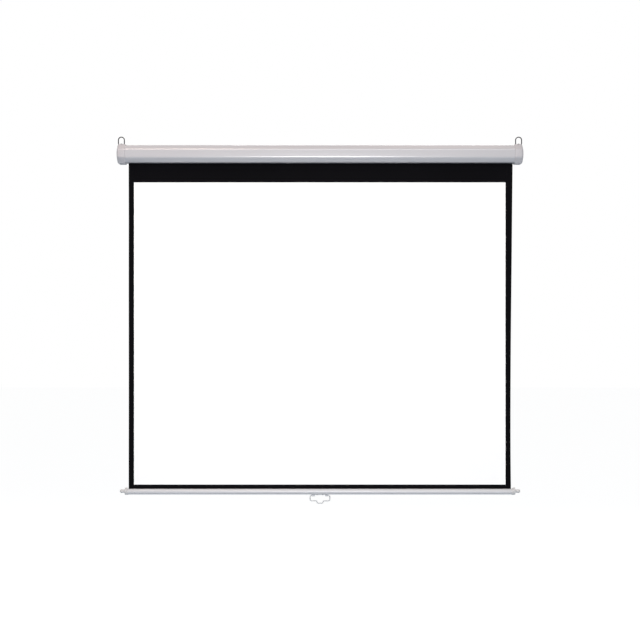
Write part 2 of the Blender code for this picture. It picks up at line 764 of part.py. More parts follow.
def add_idle_end():
    """Right end plug with its pin, which turns in a bush in the right bracket."""
    profile = [
        (roller_radius, plug_face),
        (roller_radius, roller_half + FIT),
        (plug_radius, roller_half + FIT),
        (plug_radius, roller_half - PLUG_DEPTH),
    ]
    plug = turned("idle_plug", profile, bore=shaft_radius + FIT)
    place(plug, black_plastic, roller_axis, rotation=ALONG_RIGHT)
    collar_base = plug_face + FIT
    pin_profile = [
        (shaft_radius, shaft_end),
        (shaft_radius, collar_base + IDLE_PIN_COLLAR),
        (shaft_radius + BUSH_WALL, collar_base + IDLE_PIN_COLLAR),
        (shaft_radius + BUSH_WALL, collar_base),
        (shaft_radius, collar_base),
        (shaft_radius, roller_half - PLUG_DEPTH),
    ]
    pin = turned("idle_pin", pin_profile, steps=ROUND_STEPS)
    place(pin, zinc_steel, roller_axis, rotation=ALONG_RIGHT)
    bush_radius = shaft_radius + FIT + BUSH_WALL
    flange_top = bracket_face - FIT
    bush_profile = [
        (bush_radius, shaft_end),
        (bush_radius, flange_top),
        (bush_radius + BUSH_FLANGE_WIDTH, flange_top),
        (bush_radius + BUSH_FLANGE_WIDTH, flange_top - BUSH_FLANGE),
    ]
    bush = turned("idle_bush", bush_profile, bore=shaft_radius + FIT)
    place(bush, white_nylon, roller_line, rotation=ALONG_RIGHT)
    bush_hole = rod("bush_hole", bush_radius + FIT, cap_wall_face, bracket_face - OVERCUT, ROUND_STEPS)
    right_bracket = bpy.data.objects["roller_bracket_right"]
    boolean(right_bracket, place_cutter(bush_hole, roller_line, rotation=ALONG_RIGHT), "DIFFERENCE")


def add_roller():
    tube_profile = [(roller_radius, roller_half), (roller_radius, -roller_half)]
    tube = turned("roller_tube", tube_profile, bore=bore_radius)
    place(tube, bare_steel, roller_axis, rotation=ALONG_RIGHT)
    inner_end = add_lock_head()
    coil_end = add_torsion_spring(inner_end - FIT - SPRING_WIRE / 2)
    collar_face = coil_end - SPRING_WIRE / 2 - FIT
    add_spring_collar(collar_face)
    bearing_top = shaft_end - SHAFT_LENGTH + BEARING_LENGTH + BEARING_INSET
    bearing_profile = [(plug_radius, bearing_top), (plug_radius, bearing_top - BEARING_LENGTH)]
    bearing = turned("shaft_bearing", bearing_profile, bore=shaft_radius + FIT)
    place(bearing, white_nylon, roller_axis, rotation=ALONG_LEFT)


def add_cloth():
    """The turns left on the roller, and the sheet from the roller down into the bottom bar."""
    half_cloth = CLOTH_THICKNESS / 2
    wrap_steps = round(ROUND_STEPS * WRAP_TURNS)
    outside = []
    inside = []
    for step in range(wrap_steps + 1):
        share = step / wrap_steps
        turn = 2 * math.pi * WRAP_TURNS * share
        radius = cloth_radius - wrap_pitch * WRAP_TURNS * share
        outside.append(((radius + half_cloth) * math.cos(turn), (radius + half_cloth) * math.sin(turn)))
        inside.append(((radius - half_cloth) * math.cos(turn), (radius - half_cloth) * math.sin(turn)))
    wraps = section("cloth_wraps", [outside + inside[::-1]], cloth_half)
    place(wraps, screen_fabric, roller_axis, rotation=SECTION_TURN)
    rod_top = bar_bore - FIT
    sheet = box(
        "screen_cloth",
        (-cloth_half, -half_cloth, rod_top + FIT),
        (cloth_half, half_cloth, bar_drop - FIT),
    )
    place(sheet, screen_fabric, screen_bar)
    hem_half = bar_half - BARREL_DEPTH - FIT
    hem = rod("hem_rod", ROD_DIAMETER / 2, hem_half, -hem_half)
    place(hem, spring_steel, screen_bar, (0, 0, rod_top - ROD_DIAMETER / 2), ALONG_RIGHT)


def add_bottom_bar():
    opening = math.asin(BAR_SLOT / 2 / bar_radius)
    inner_opening = math.asin(BAR_SLOT / 2 / bar_bore)
    top = math.pi / 2
    outline = arc(bar_radius, top + opening, top + 2 * math.pi - opening, ROUND_STEPS)
    outline += arc(bar_bore, top + 2 * math.pi - inner_opening, top + inner_opening, ROUND_STEPS)
    bar = as_mesh(section("bottom_bar", [outline], bar_half))
    place(bar, painted_bar, screen_bar, rotation=SECTION_TURN)
    return bar


def add_bar_plug(side_name, side):
    """Flange and round stub, set a little above the bar's axis, joined to a barrel inside the bar."""
    turn = ALONG_RIGHT if side > 0 else ALONG_LEFT
    flange_base = bar_half + FIT
    flange_top = flange_base + FLANGE_THICKNESS
    stub_top = flange_top + STUB_LENGTH
    ball = STUB_BALL / 2
    neck = STUB_NECK / 2
    crown = arc(ball, math.pi / 2, 0, STUB_BALL_STEPS, centre=(0, stub_top - ball))[1:]
    profile = [
        *crown,
        (ball, stub_top - ball - STUB_BALL_SIDE * ball),
        (neck, stub_top - 2 * ball),
        (neck, flange_top),
        (FLANGE_DIAMETER / 2 - FLANGE_EDGE, flange_top),
        (FLANGE_DIAMETER / 2, flange_top - FLANGE_EDGE),
        (FLANGE_DIAMETER / 2, flange_base + FLANGE_EDGE),
        (FLANGE_DIAMETER / 2 - FLANGE_EDGE, flange_base),
    ]
    plug = turned(f"bar_plug_{side_name}", profile)
    place(plug, plug_plastic, screen_bar, (0, 0, STUB_LIFT), turn)
    cup_inner = bar_radius + FIT
    cup_outer = cup_inner + CUP_WALL
    overlap_top = flange_base + FLANGE_THICKNESS / 2
    barrel_profile = [
        (cup_outer, overlap_top),
        (cup_outer, bar_half - CUP_DEPTH),
        (cup_inner, bar_half - CUP_DEPTH),
        (cup_inner, flange_base),
        (bar_bore - FIT, flange_base),
        (bar_bore - FIT, bar_half - BARREL_DEPTH),
    ]
    barrel = turned(f"plug_barrel_{side_name}", barrel_profile)
    boolean(plug, place_cutter(barrel, screen_bar, rotation=turn), "UNION")


def add_handle_bracket(bar):
    """A strip bent to the bar's underside, with two knuckles for the handle's ends."""
    inner = bar_radius + FIT
    outer = inner + SADDLE_STEEL
    first = -math.pi / 2 - SADDLE_SPREAD / 2
    last = -math.pi / 2 + SADDLE_SPREAD / 2
    strip = arc(inner, first, last, ROUND_STEPS // 2) + arc(outer, last, first, ROUND_STEPS // 2)
    bracket = as_mesh(section("handle_bracket", [strip], SADDLE_LENGTH / 2))
    place(bracket, painted_bar, screen_bar, rotation=SECTION_TURN)
    for side_name, side in SIDES:
        middle = side * knuckle_x
        top = middle + KNUCKLE_LENGTH / 2
        bottom = middle - KNUCKLE_LENGTH / 2
        knuckle = rod(f"knuckle_{side_name}", KNUCKLE_DIAMETER / 2, top, bottom)
        boolean(bracket, place_cutter(knuckle, handle_line, rotation=ALONG_RIGHT), "UNION", "MANIFOLD")
    for side_name, side in SIDES:
        middle = side * knuckle_x
        top = middle + KNUCKLE_LENGTH / 2 + OVERCUT
        bottom = middle - KNUCKLE_LENGTH / 2 - OVERCUT
        bore = rod(f"knuckle_bore_{side_name}", HANDLE_WIRE / 2 + FIT, top, bottom)
        boolean(bracket, place_cutter(bore, handle_line, rotation=ALONG_RIGHT), "DIFFERENCE", "MANIFOLD")
    for side_name, side in SIDES:
        location = (side * HANDLE_SCREW_SPAN / 2, 0, 0)
        head_base = outer + FIT
        hole = rod(f"handle_screw_hole_{side_name}", screw_hole, head_base + OVERCUT, bar_bore - OVERCUT)
        place_cutter(hole, screen_bar, location, DOWNWARD)
        boolean(bracket, hole, "DIFFERENCE", "MANIFOLD")
        boolean(bar, hole, "DIFFERENCE")
        screw = pan_screw(f"handle_screw_{side_name}", SHORT_SCREW_LENGTH, head_base)
        place(screw, zinc_steel, screen_bar, location, DOWNWARD)


def add_pull_handle():
    """One bent wire; its ends lie in the knuckles, on the hinge axis through its origin."""
    half = HANDLE_WIDTH / 2
    waist = HANDLE_WAIST / 2
    grip = HANDLE_GRIP / 2
    wire_end = knuckle_x - KNUCKLE_LENGTH / 2
    left = [
        (-wire_end, 0, 0),
        (-half, 0, 0),
        (-half, 0, -HANDLE_SHOULDER),
        (-waist, 0, -HANDLE_SHOULDER),
        (-grip, 0, -HANDLE_DEPTH),
    ]
    right = [(-x, y, z) for x, y, z in reversed(left)]
    radii = [0, HANDLE_CORNER, HANDLE_CORNER, HANDLE_BEND, HANDLE_BEND]
    path = filleted(left + right, radii + radii[::-1], False)
    handle = wire("pull_handle", path, HANDLE_WIRE / 2)
    place(handle, handle_wire, handle_line)


clear_scene()
parts = make_collection("pull_down_projector_screen")
cutters = make_collection("cutters")

painted_steel = make_material("painted_steel", (0.62, 0.61, 0.63), 0.42, 0.0)
cap_plastic = make_material("cap_plastic", (0.58, 0.56, 0.58), 0.45, 0.0)
painted_bar = make_material("painted_bar", (0.72, 0.72, 0.75), 0.4, 0.0)
plug_plastic = make_material("plug_plastic", (0.6, 0.6, 0.6), 0.5, 0.0)
handle_wire = make_material("handle_wire", (0.62, 0.62, 0.63), 0.4, 0.2)
dark_zinc = make_material("dark_zinc", (0.13, 0.13, 0.13), 0.4, 0.8)
zinc_steel = make_material("zinc_steel", (0.55, 0.55, 0.56), 0.35, 0.9)
bare_steel = make_material("bare_steel", (0.5, 0.5, 0.5), 0.45, 0.9)
spring_steel = make_material("spring_steel", (0.3, 0.3, 0.31), 0.4, 0.9)
black_plastic = make_material("black_plastic", (0.02, 0.02, 0.022), 0.5, 0.0)
white_nylon = make_material("white_nylon", (0.8, 0.8, 0.77), 0.5, 0.0)
screen_fabric = make_material("screen_fabric", (0.9, 0.9, 0.9), 0.85, 0.0)

housing = add_empty("housing", (0, case_y, case_z))
roller_line = add_empty("roller_line", (0, ROLLER_SETBACK, 0), housing)
roller_axis = add_empty("roller_axis", (0, case_y + ROLLER_SETBACK, case_z))
screen_bar = add_empty("screen_bar", (0, case_y + cloth_y, case_z - bar_drop))
handle_line = add_empty("handle_axis", (0, 0, -PIVOT_DROP), screen_bar)

add_casing()
for side_name, side in SIDES:
    add_end_cap(side_name, side)
    add_bracket(side_name, side)
    add_hanging_ring(side_name, side)
    add_ring_clip(side_name, side)
    add_bar_plug(side_name, side)
add_spring_shaft()
add_ratchet_hub()
add_roller()
add_lock_pawl()
add_idle_end()
add_cloth()
add_handle_bracket(add_bottom_bar())
add_pull_handle()
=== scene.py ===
"""Looks of a pull down projector screen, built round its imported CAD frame.

Metres, +Z up. X runs along the casing, the viewer stands at -Y and the wall is at +Y.
"""

import math

import bmesh
import bpy
from bpy.props import FloatProperty, FloatVectorProperty, IntProperty, PointerProperty
from mathutils import Matrix, Vector


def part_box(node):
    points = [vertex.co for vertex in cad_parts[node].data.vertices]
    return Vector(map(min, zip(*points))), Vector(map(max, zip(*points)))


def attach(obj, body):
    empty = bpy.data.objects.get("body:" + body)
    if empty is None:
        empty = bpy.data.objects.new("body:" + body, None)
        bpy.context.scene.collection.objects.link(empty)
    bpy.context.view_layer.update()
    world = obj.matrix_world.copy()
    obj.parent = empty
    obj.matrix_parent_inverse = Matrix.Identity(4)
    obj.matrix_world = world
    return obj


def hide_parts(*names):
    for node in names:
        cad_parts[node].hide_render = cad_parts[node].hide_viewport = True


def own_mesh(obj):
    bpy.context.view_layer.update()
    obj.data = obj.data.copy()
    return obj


bl_info = {
    "name": "Pull Down Projector Screen",
    "version": (1, 0, 0),
    "blender": (4, 5, 0),
    "location": "View3D > Sidebar > Screen",
    "description": "Builds the visible pieces of a pull down projector screen round its CAD frame",
    "category": "Add Mesh",
}

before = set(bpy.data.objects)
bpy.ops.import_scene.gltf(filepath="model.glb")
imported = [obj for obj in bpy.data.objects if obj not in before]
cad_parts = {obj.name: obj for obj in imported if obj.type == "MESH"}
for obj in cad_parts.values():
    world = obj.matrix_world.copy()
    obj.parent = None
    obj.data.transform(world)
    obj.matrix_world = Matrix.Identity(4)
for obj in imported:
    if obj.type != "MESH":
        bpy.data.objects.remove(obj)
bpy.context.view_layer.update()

SIDES = (("left", -1), ("right", 1))
ROWS = ("lower", "upper")
QUARTER_TURN = math.pi / 2
HALF_TURN = math.pi
FULL_TURN = 2 * math.pi
OCTAGON = 8
HALF_SIDE = math.pi / OCTAGON

# Points closer than the first become one; touching pieces keep the second, as in the CAD.
MERGE = 0.000005
CLEARANCE = 0.0003

# Faces along a bend, and round a large and a small turned shape.
BEND_STEPS = 8
ROUND = 64
SMALL_ROUND = 40

# Turns that carry a shape drawn along +Z to where its axis lies.
TO_RIGHT = Matrix.Rotation(QUARTER_TURN, 4, "Y")
TO_LEFT = Matrix.Rotation(-QUARTER_TURN, 4, "Y")
TO_REAR = Matrix.Rotation(-QUARTER_TURN, 4, "X")
TO_FLOOR = Matrix.Rotation(HALF_TURN, 4, "X")

# Which way a screw's head faces: the axis, the side of it, and the turn from +Z.
HEADS = {"rear": (1, 1, TO_REAR), "up": (2, 1, Matrix.Identity(4)), "down": (2, -1, TO_FLOOR)}


# The settings: the sizes, powers and colours that a user would change.


def metres(name, description, default):
    return FloatProperty(name=name, description=description, default=default, unit="LENGTH")


def watts(name, description, default):
    return FloatProperty(name=name, description=description, default=default, unit="POWER")


def tint(name, description, default):
    return FloatVectorProperty(
        name=name, description=description, default=default, subtype="COLOR", min=0, max=1
    )


class CasingSettings(bpy.types.PropertyGroup):
    top_bend: metres("Top bends", "Outside radius of the casing's two top bends", 0.005)
    upper_bend: metres("Upper bends", "Outside radius over the casing's upright sides", 0.0095)
    lower_bend: metres("Lower bends", "Outside radius under the casing's upright sides", 0.014)
    front_bend: metres("Front bend", "Outside radius of the bend in front of the slot", 0.018)
    chamfer: metres("Chamfer", "How far each slanting side cuts into the casing", 0.0177)
    wall: metres("Wall", "Sheet thickness of the casing", 0.001)
    slot: metres("Slot", "Width of the slot under the casing", 0.010)
    lip: metres("Lip", "Height of the slot's turned-in lips", 0.005)
    foot_bend: metres("Foot bend", "Outside radius of the bend behind the slot", 0.0015)
    lip_bend: metres("Lip bend", "Outside radius where the lips turn in", 0.0014)
    cap_corner: metres("Cap corner", "Radius of the caps' top and bottom corners", 0.0045)
    cap_side_corner: metres("Cap side corner", "Radius of the caps' front and rear corners", 0.012)
    cap_dome: metres("Cap dome", "Height of the shallow dome on a cap's end", 0.0048)
    cap_back: metres("Cap setback", "From the CAD's end to the tip of a cap's dome", 0.0012)
    cap_shoulder: metres("Cap shoulder", "Radius from a cap's side to its dome", 0.008)
    cap_lip: metres("Cap rim", "Rounding of the cap's open rim", 0.0012)
    cap_seam: metres("Cap seam", "From a cap's tip back to the seam round it", 0.0252)
    cap_pocket: metres("Cap pocket", "How far the casing sits in a cap", 0.0153)
    paint: tint("Casing paint", "Colour of the casing's coat", (0.49, 0.48, 0.50))
    cap_plastic: tint("Cap plastic", "Colour of the end caps", (0.485, 0.468, 0.485))


class RingSettings(bpy.types.PropertyGroup):
    wire: metres("Wire", "Diameter of the ring's wire", 0.004)
    foot_bend: metres("Foot bend", "Radius of the bends at the ring's foot", 0.004)
    clip_steel: metres("Clip steel", "Sheet thickness of the ring's clip", 0.0012)
    plating: tint("Dark plating", "Colour of the rings and clips", (0.036, 0.033, 0.037))


class ClothSettings(bpy.types.PropertyGroup):
    view_width: metres("White width", "Width of the white viewing area", 1.5)
    view_height: metres("White height", "Height of the white viewing area", 1.22)
    view_shift: metres("White shift", "How far the white area sits to the left", 0.001)
    bottom_border: metres("Bottom border", "Height of the black border over the bar", 0.0168)
    thickness: metres("Thickness", "Thickness of the cloth", 0.00032)
    curl: metres("Edge curl", "How far the side edges curl back", 0.0022)
    swell: metres("Swell", "How far the right edge stands out at the top", 0.0055)
    draw_in: metres("Draw-in", "How far the right edge draws in near the bottom", 0.0034)
    columns: IntProperty(name="Columns", description="Faces across the cloth", default=96)
    rows: IntProperty(name="Rows", description="Faces down the cloth", default=72)
    white: tint("White", "Colour of the viewing area", (0.975, 0.965, 0.955))
    black: tint("Black", "Colour of the border and the back", (0.0032, 0.0030, 0.0039))


class BarSettings(bpy.types.PropertyGroup):
    wall: metres("Wall", "Wall of the bar's tube", 0.0012)
    slot: metres("Slot", "Width of the slot for the cloth", 0.0024)
    handle_wire: metres("Handle wire", "Diameter of the pull handle's wire", 0.0038)
    handle_corner: metres("Handle corners", "Radius of the handle's wide corners", 0.007)
    handle_bend: metres("Handle bends", "Radius of the bends round the finger hold", 0.005)
    saddle_steel: metres("Bracket steel", "Sheet thickness of the handle's bracket", 0.001)
    paint: tint("Bar paint", "Colour of the bar's coat", (0.57, 0.567, 0.585))
    plug: tint("Plug plastic", "Colour of the bar's end plugs", (0.56, 0.55, 0.55))
    handle: tint("Handle coat", "Colour of the pull handle", (0.47, 0.47, 0.48))


class StageSettings(bpy.types.PropertyGroup):
    distance: metres("Camera distance", "From the camera to the cloth", 4.5)
    height: metres("Camera height", "Height of the camera in the frame", -0.737)
    lens: FloatProperty(name="Lens", description="Focal length in millimetres", default=62.69)
    floor_drop: metres("Floor", "Distance from the handle's foot down to the floor", 1.35)
    sky: FloatProperty(name="Room light", description="Strength of the even light all round", default=0.45)
    lift: FloatProperty(name="Floor lift", description="Brightness added to the floor in view", default=0.80)
    soft: watts("Soft light", "Power of the large front light", 108.0)
    near: watts("Near light", "Power of the light by the camera", 104.0)
    top: watts("Top light", "Power of the light overhead", 27.0)
    far_top: watts("Far top light", "Power over the right end", 1.7)
    rear: watts("Rear light", "Power of the light behind", 130.0)


# Mesh helpers.


def dress(piece, body, finishes, nodes, sharp=35):
    """Gives a piece its finishes, its body and the CAD nodes that it stands for."""
    for finish in finishes:
        piece.data.materials.append(bpy.data.materials[finish])
    piece.data.shade_smooth()
    piece.data.set_sharp_from_angle(angle=math.radians(sharp))
    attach(piece, body)
    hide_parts(*nodes)


def evaluated(made):
    """A new mesh of the object as its modifiers or its curve shape it."""
    return bpy.data.meshes.new_from_object(made.evaluated_get(bpy.context.evaluated_depsgraph_get()))


def bake(piece):
    """Applies the piece's modifiers to its mesh."""
    mesh = evaluated(piece)
    piece.modifiers.clear()
    former = piece.data
    piece.data = mesh
    bpy.data.meshes.remove(former)
    mesh.name = piece.name


def rough_object(bm, name):
    """The shape as an object that has no finish or body yet."""
    mesh = bpy.data.meshes.new(name)
    bm.to_mesh(mesh)
    bm.free()
    made = bpy.data.objects.new(name, mesh)
    bpy.context.scene.collection.objects.link(made)
    return made


def combine(target, others, operation):
    """Joins or cuts the target with the other objects, which are then removed."""
    for other in others:
        modifier = target.modifiers.new(other.name, "BOOLEAN")
        modifier.operation = operation
        modifier.solver = "EXACT"
        modifier.object = other
    bake(target)
    for other in others:
        bpy.data.objects.remove(other, do_unlink=True)
    bm = bmesh.new()
    bm.from_mesh(target.data)
    bmesh.ops.remove_doubles(bm, verts=bm.verts[:], dist=MERGE)
    bmesh.ops.dissolve_degenerate(bm, edges=bm.edges[:], dist=MERGE)
    bmesh.ops.holes_fill(bm, edges=[edge for edge in bm.edges if edge.is_boundary], sides=4)
    bmesh.ops.recalc_face_normals(bm, faces=bm.faces[:])
    bm.to_mesh(target.data)
    bm.free()


def outward(bm):
    """Merges doubles and turns the faces outwards."""
    bmesh.ops.remove_doubles(bm, verts=bm.verts[:], dist=MERGE)
    bmesh.ops.recalc_face_normals(bm, faces=bm.faces[:])


def soften(piece, least, radius):
    """Rounds the piece's edges that turn by more than an angle in degrees."""
    bm = bmesh.new()
    bm.from_mesh(piece.data)
    outward(bm)
    limit = math.radians(least)
    edges = [edge for edge in bm.edges if len(edge.link_faces) == 2 and edge.calc_face_angle() > limit]
    bmesh.ops.bevel(
        bm, geom=edges, offset=radius, offset_type="OFFSET", segments=2, profile=0.5, affect="EDGES",
        clamp_overlap=True, material=-1,
    )
    bm.to_mesh(piece.data)
    bm.free()


def verts_in(items):
    return [item for item in items if isinstance(item, bmesh.types.BMVert)]


def push(bm, face, reach, keep=False):
    """Extrudes a face along X and returns the new face and its points. The old face goes unless kept."""
    grown = bmesh.ops.extrude_face_region(bm, geom=[face])["geom"]
    if not keep:
        bmesh.ops.delete(bm, geom=[face], context="FACES_ONLY")
    ring = verts_in(grown)
    bmesh.ops.translate(bm, vec=(reach, 0, 0), verts=ring)
    return next(item for item in grown if isinstance(item, bmesh.types.BMFace)), ring


def strip(bm, points):
    """A chain of points joined by edges; returns both."""
    verts = [bm.verts.new(point) for point in points]
    return verts, [bm.edges.new(pair) for pair in zip(verts, verts[1:])]


def turned(name, profile, place, steps=ROUND):
    """A shape turned about Z from (radius, height) points, listed from the top down, and put in its place."""
    bm = bmesh.new()
    verts, edges = strip(bm, [(radius, 0, height) for radius, height in profile])
    bmesh.ops.spin(
        bm, geom=verts + edges, cent=(0, 0, 0), axis=(0, 0, 1), angle=FULL_TURN, steps=steps,
        use_merge=True, use_duplicate=False,
    )
    outward(bm)
    bmesh.ops.transform(bm, matrix=place, verts=bm.verts[:])
    return rough_object(bm, name)


def rolled(points, reach, axis):
    """A sheet drawn out along X from a chain of points, with its outer side away from the axis."""
    bm = bmesh.new()
    _, edges = strip(bm, points)
    grown = bmesh.ops.extrude_edge_only(bm, edges=edges)["geom"]
    bmesh.ops.translate(bm, vec=(reach, 0, 0), verts=verts_in(grown))
    bmesh.ops.recalc_face_normals(bm, faces=bm.faces[:])
    lean = 0.0
    for face in bm.faces:
        out = face.calc_center_median() - axis
        out.x = 0
        lean += face.normal.dot(out) * face.calc_area()
    if lean < 0:
        bmesh.ops.reverse_faces(bm, faces=bm.faces[:])
    return bm


def walled(bm, name, thickness, offset=0):
    """The sheet as an object with a wall: inside it at an offset of -1, on both sides of it at 0."""
    piece = rough_object(bm, name)
    shell = piece.modifiers.new("wall", "SOLIDIFY")
    shell.thickness = thickness
    shell.offset = offset
    shell.use_even_offset = True
    shell.use_quality_normals = True
    bake(piece)
    return piece


def map_cloth(bm, place):
    """Gives a sheet its own map in metres; place says where a point lies on the flat cloth."""
    layer = bm.loops.layers.uv.new("cloth")
    for face in bm.faces:
        for loop in face.loops:
            loop[layer].uv = place(loop.vert.co)


def clamped(value):
    return max(0.0, min(1.0, value))


def sweep(first, last, steps):
    """Angles from the first to the last in even steps, with both of them."""
    return [first + (last - first) * step / steps for step in range(steps + 1)]


def arc(x, axis, radius, angles):
    """Points at these angles round an axis along X."""
    return [(x, axis.y + radius * math.cos(angle), axis.z + radius * math.sin(angle)) for angle in angles]


def rounded(points, radii, closed, steps=BEND_STEPS):
    """The points with each corner replaced by an arc of its radius; 0 keeps the corner."""
    path = []
    count = len(points)
    for index, (corner, radius) in enumerate(zip(points, radii)):
        here = Vector(corner)
        if radius == 0 or (not closed and index in (0, count - 1)):
            path.append(here)
            continue
        back = (Vector(points[index - 1]) - here).normalized()
        ahead = (Vector(points[(index + 1) % count]) - here).normalized()
        half_angle = back.angle(ahead) / 2
        reach = radius / math.tan(half_angle)
        centre = here + (back + ahead).normalized() * (radius / math.sin(half_angle))
        start = (here + back * reach - centre).normalized()
        end = (here + ahead * reach - centre).normalized()
        path += [centre + start.slerp(end, step / steps) * radius for step in range(steps + 1)]
    return path


def wire(name, points, radius, closed, sides=7):
    """A round wire along the points, as a mesh object at the origin."""
    curve = bpy.data.curves.new(name, "CURVE")
    curve.dimensions = "3D"
    curve.bevel_depth = radius
    curve.bevel_resolution = sides
    curve.use_fill_caps = not closed
    spline = curve.splines.new("POLY")
    spline.points.add(len(points) - 1)
    for point, co in zip(spline.points, points):
        point.co = (*co, 1)
    spline.use_cyclic_u = closed
    drawn = bpy.data.objects.new(f"{name}_line", curve)
    bpy.context.scene.collection.objects.link(drawn)
    mesh = evaluated(drawn)
    bpy.data.objects.remove(drawn, do_unlink=True)
    bpy.data.curves.remove(curve)
    bm = bmesh.new()
    bm.from_mesh(mesh)
    bpy.data.meshes.remove(mesh)
    outward(bm)
    return rough_object(bm, name)


# Material helpers.


class Tree:
    """Adds nodes to a material or a group, and links them."""

    def __init__(self, tree):
        self.tree = tree

    def add(self, kind, settings=None, **inputs):
        node = self.tree.nodes.new(kind)
        for key, value in (settings or {}).items():
            setattr(node, key, value)
        for key, value in inputs.items():
            self.feed(node, key, value)
        return node

    def feed(self, node, key, value):
        """Links an output to a node's input, or gives the input a constant."""
        socket = node.inputs[key]
        if isinstance(value, bpy.types.NodeSocket):
            self.tree.links.new(value, socket)
        else:
            socket.default_value = value

    def math(self, operation, first, second=0.0):
        node = self.add("ShaderNodeMath", {"operation": operation})
        self.feed(node, 0, first)
        self.feed(node, 1, second)
        return node.outputs[0]

    def noise(self, vector, scale, detail, roughness):
        node = self.add(
            "ShaderNodeTexNoise", Vector=vector, Scale=scale, Detail=detail, Roughness=roughness
        )
        return node.outputs["Fac"]

    def spread(self, value, low, high, to_low, to_high):
        """Carries a value from one range to another, held at both ends."""
        node = self.add("ShaderNodeMapRange", {"clamp": True})
        keys = ("Value", "From Min", "From Max", "To Min", "To Max")
        for key, item in zip(keys, (value, low, high, to_low, to_high)):
            self.feed(node, key, item)
        return node.outputs["Result"]

    def mix(self, share, first, second):
        """Mixes two colours; the numbers are the sockets of the node's colour mode."""
        node = self.add("ShaderNodeMix", {"data_type": "RGBA"})
        for key, item in ((0, share), (6, first), (7, second)):
            self.feed(node, key, item)
        return node.outputs[2]

    def place(self):
        """The piece's own coordinates, which every finish but the cloth's reads."""
        return self.add("ShaderNodeTexCoord").outputs["Object"]

    def effect(self, name, **inputs):
        """Puts a node group here and returns its outputs."""
        return self.add("ShaderNodeGroup", {"node_tree": bpy.data.node_groups[name]}, **inputs).outputs


def new_group(name, inputs, outputs):
    """A node group with a Vector input, number inputs and number outputs, and no nodes between them yet."""
    group = bpy.data.node_groups.new(name, "ShaderNodeTree")
    group.interface.new_socket(name="Vector", in_out="INPUT", socket_type="NodeSocketVector")
    for socket, value in inputs.items():
        made = group.interface.new_socket(name=socket, in_out="INPUT", socket_type="NodeSocketFloat")
        made.default_value = value
    for socket in outputs:
        group.interface.new_socket(name=socket, in_out="OUTPUT", socket_type="NodeSocketFloat")
    tree = Tree(group)
    return tree, tree.add("NodeGroupInput").outputs, tree.add("NodeGroupOutput")


def grain_group():
    """Fine grain of a coat or a moulding, and the slow drift of its tone."""
    tree, given, put = new_group("surface_grain", {"Grain": 900.0, "Drift": 3.0}, ("Height", "Tone"))
    tree.feed(put, "Height", tree.noise(given["Vector"], given["Grain"], 3.0, 0.55))
    tree.feed(put, "Tone", tree.noise(given["Vector"], given["Drift"], 2.0, 0.5))


def drawn_group():
    """Fine lines along X that drawing or brushing leaves on bare steel."""
    tree, given, put = new_group("drawn_lines", {"Fineness": 700.0}, ("Height", "Tone"))
    stretched = tree.add("ShaderNodeMapping", Vector=given["Vector"], Scale=(0.02, 1.0, 1.0))
    lines = tree.noise(stretched.outputs["Vector"], given["Fineness"], 4.0, 0.6)
    cloudy = tree.noise(given["Vector"], 28.0, 3.0, 0.6)
    tree.feed(put, "Height", lines)
    tree.feed(put, "Tone", tree.math("MULTIPLY", lines, cloudy))


def scuff_group():
    """A few thin scuffs and rub marks, as a mask from 0 to 1."""
    tree, given, put = new_group("scuffs", {"Size": 130.0, "Amount": 0.2}, ("Mask",))
    stretched = tree.add(
        "ShaderNodeMapping", Vector=given["Vector"], Scale=(0.25, 1.6, 1.0), Rotation=(0.2, 0.4, 0.3)
    )
    lines = tree.noise(stretched.outputs["Vector"], given["Size"], 5.0, 0.7)
    from_middle = tree.math("ABSOLUTE", tree.math("SUBTRACT", lines, 0.5))
    thin = tree.spread(from_middle, 0.0, 0.006, 1.0, 0.0)
    patches = tree.spread(tree.noise(given["Vector"], 14.0, 2.0, 0.5), 0.60, 0.75, 0.0, 1.0)
    marks = tree.math("MULTIPLY", thin, patches)
    tree.feed(put, "Mask", tree.math("MULTIPLY", marks, given["Amount"]))


def weave_group():
    """Plain weave under the cloth's coat, on the cloth's own map in metres."""
    tree, given, put = new_group("weave", {"Pitch": 0.0009}, ("Height", "Tone"))
    axes = tree.add("ShaderNodeSeparateXYZ", Vector=given["Vector"])
    turn = tree.math("DIVIDE", FULL_TURN, given["Pitch"])
    across, down = (
        tree.math("SINE", tree.math("MULTIPLY", axes.outputs[axis], turn)) for axis in ("X", "Y")
    )
    crossed = tree.math("MULTIPLY", across, down)
    tree.feed(put, "Height", tree.spread(crossed, -1.0, 1.0, 0.0, 1.0))
    tree.feed(put, "Tone", tree.noise(given["Vector"], 3.5, 2.0, 0.5))


def new_material(name):
    if name in bpy.data.materials:
        raise ValueError(f"the frame already has a material called {name}")
    material = bpy.data.materials.new(name)
    material.use_nodes = True
    return Tree(material.node_tree), material.node_tree.nodes["Principled BSDF"]


def bump(tree, shader, height, strength, distance):
    node = tree.add("ShaderNodeBump", Height=height, Strength=strength, Distance=distance)
    tree.feed(shader, "Normal", node.outputs["Normal"])


def shaded(colour, factor):
    return (*(min(1.0, channel * factor) for channel in colour), 1.0)


def coat_material(name, colour, roughness, grain, depth, tone=0.03, level=0.5):
    """Paint or moulded plastic: grain in the surface, a slow drift in its tone, and a few scuffs."""
    tree, shader = new_material(name)
    place = tree.place()
    grained = tree.effect("surface_grain", Vector=place, Grain=grain)
    marks = tree.effect("scuffs", Vector=place, Amount=0.15)["Mask"]
    base = tree.mix(grained["Tone"], shaded(colour, 1 - tone), shaded(colour, 1 + tone))
    tree.feed(shader, "Base Color", tree.mix(marks, base, shaded(colour, 1.22)))
    drift = tree.spread(grained["Tone"], 0.3, 0.7, roughness - 0.012, roughness + 0.015)
    tree.feed(shader, "Roughness", tree.math("ADD", drift, tree.math("MULTIPLY", marks, 0.15)))
    tree.feed(shader, "Specular IOR Level", level)
    bump(tree, shader, grained["Height"], 0.35, depth)


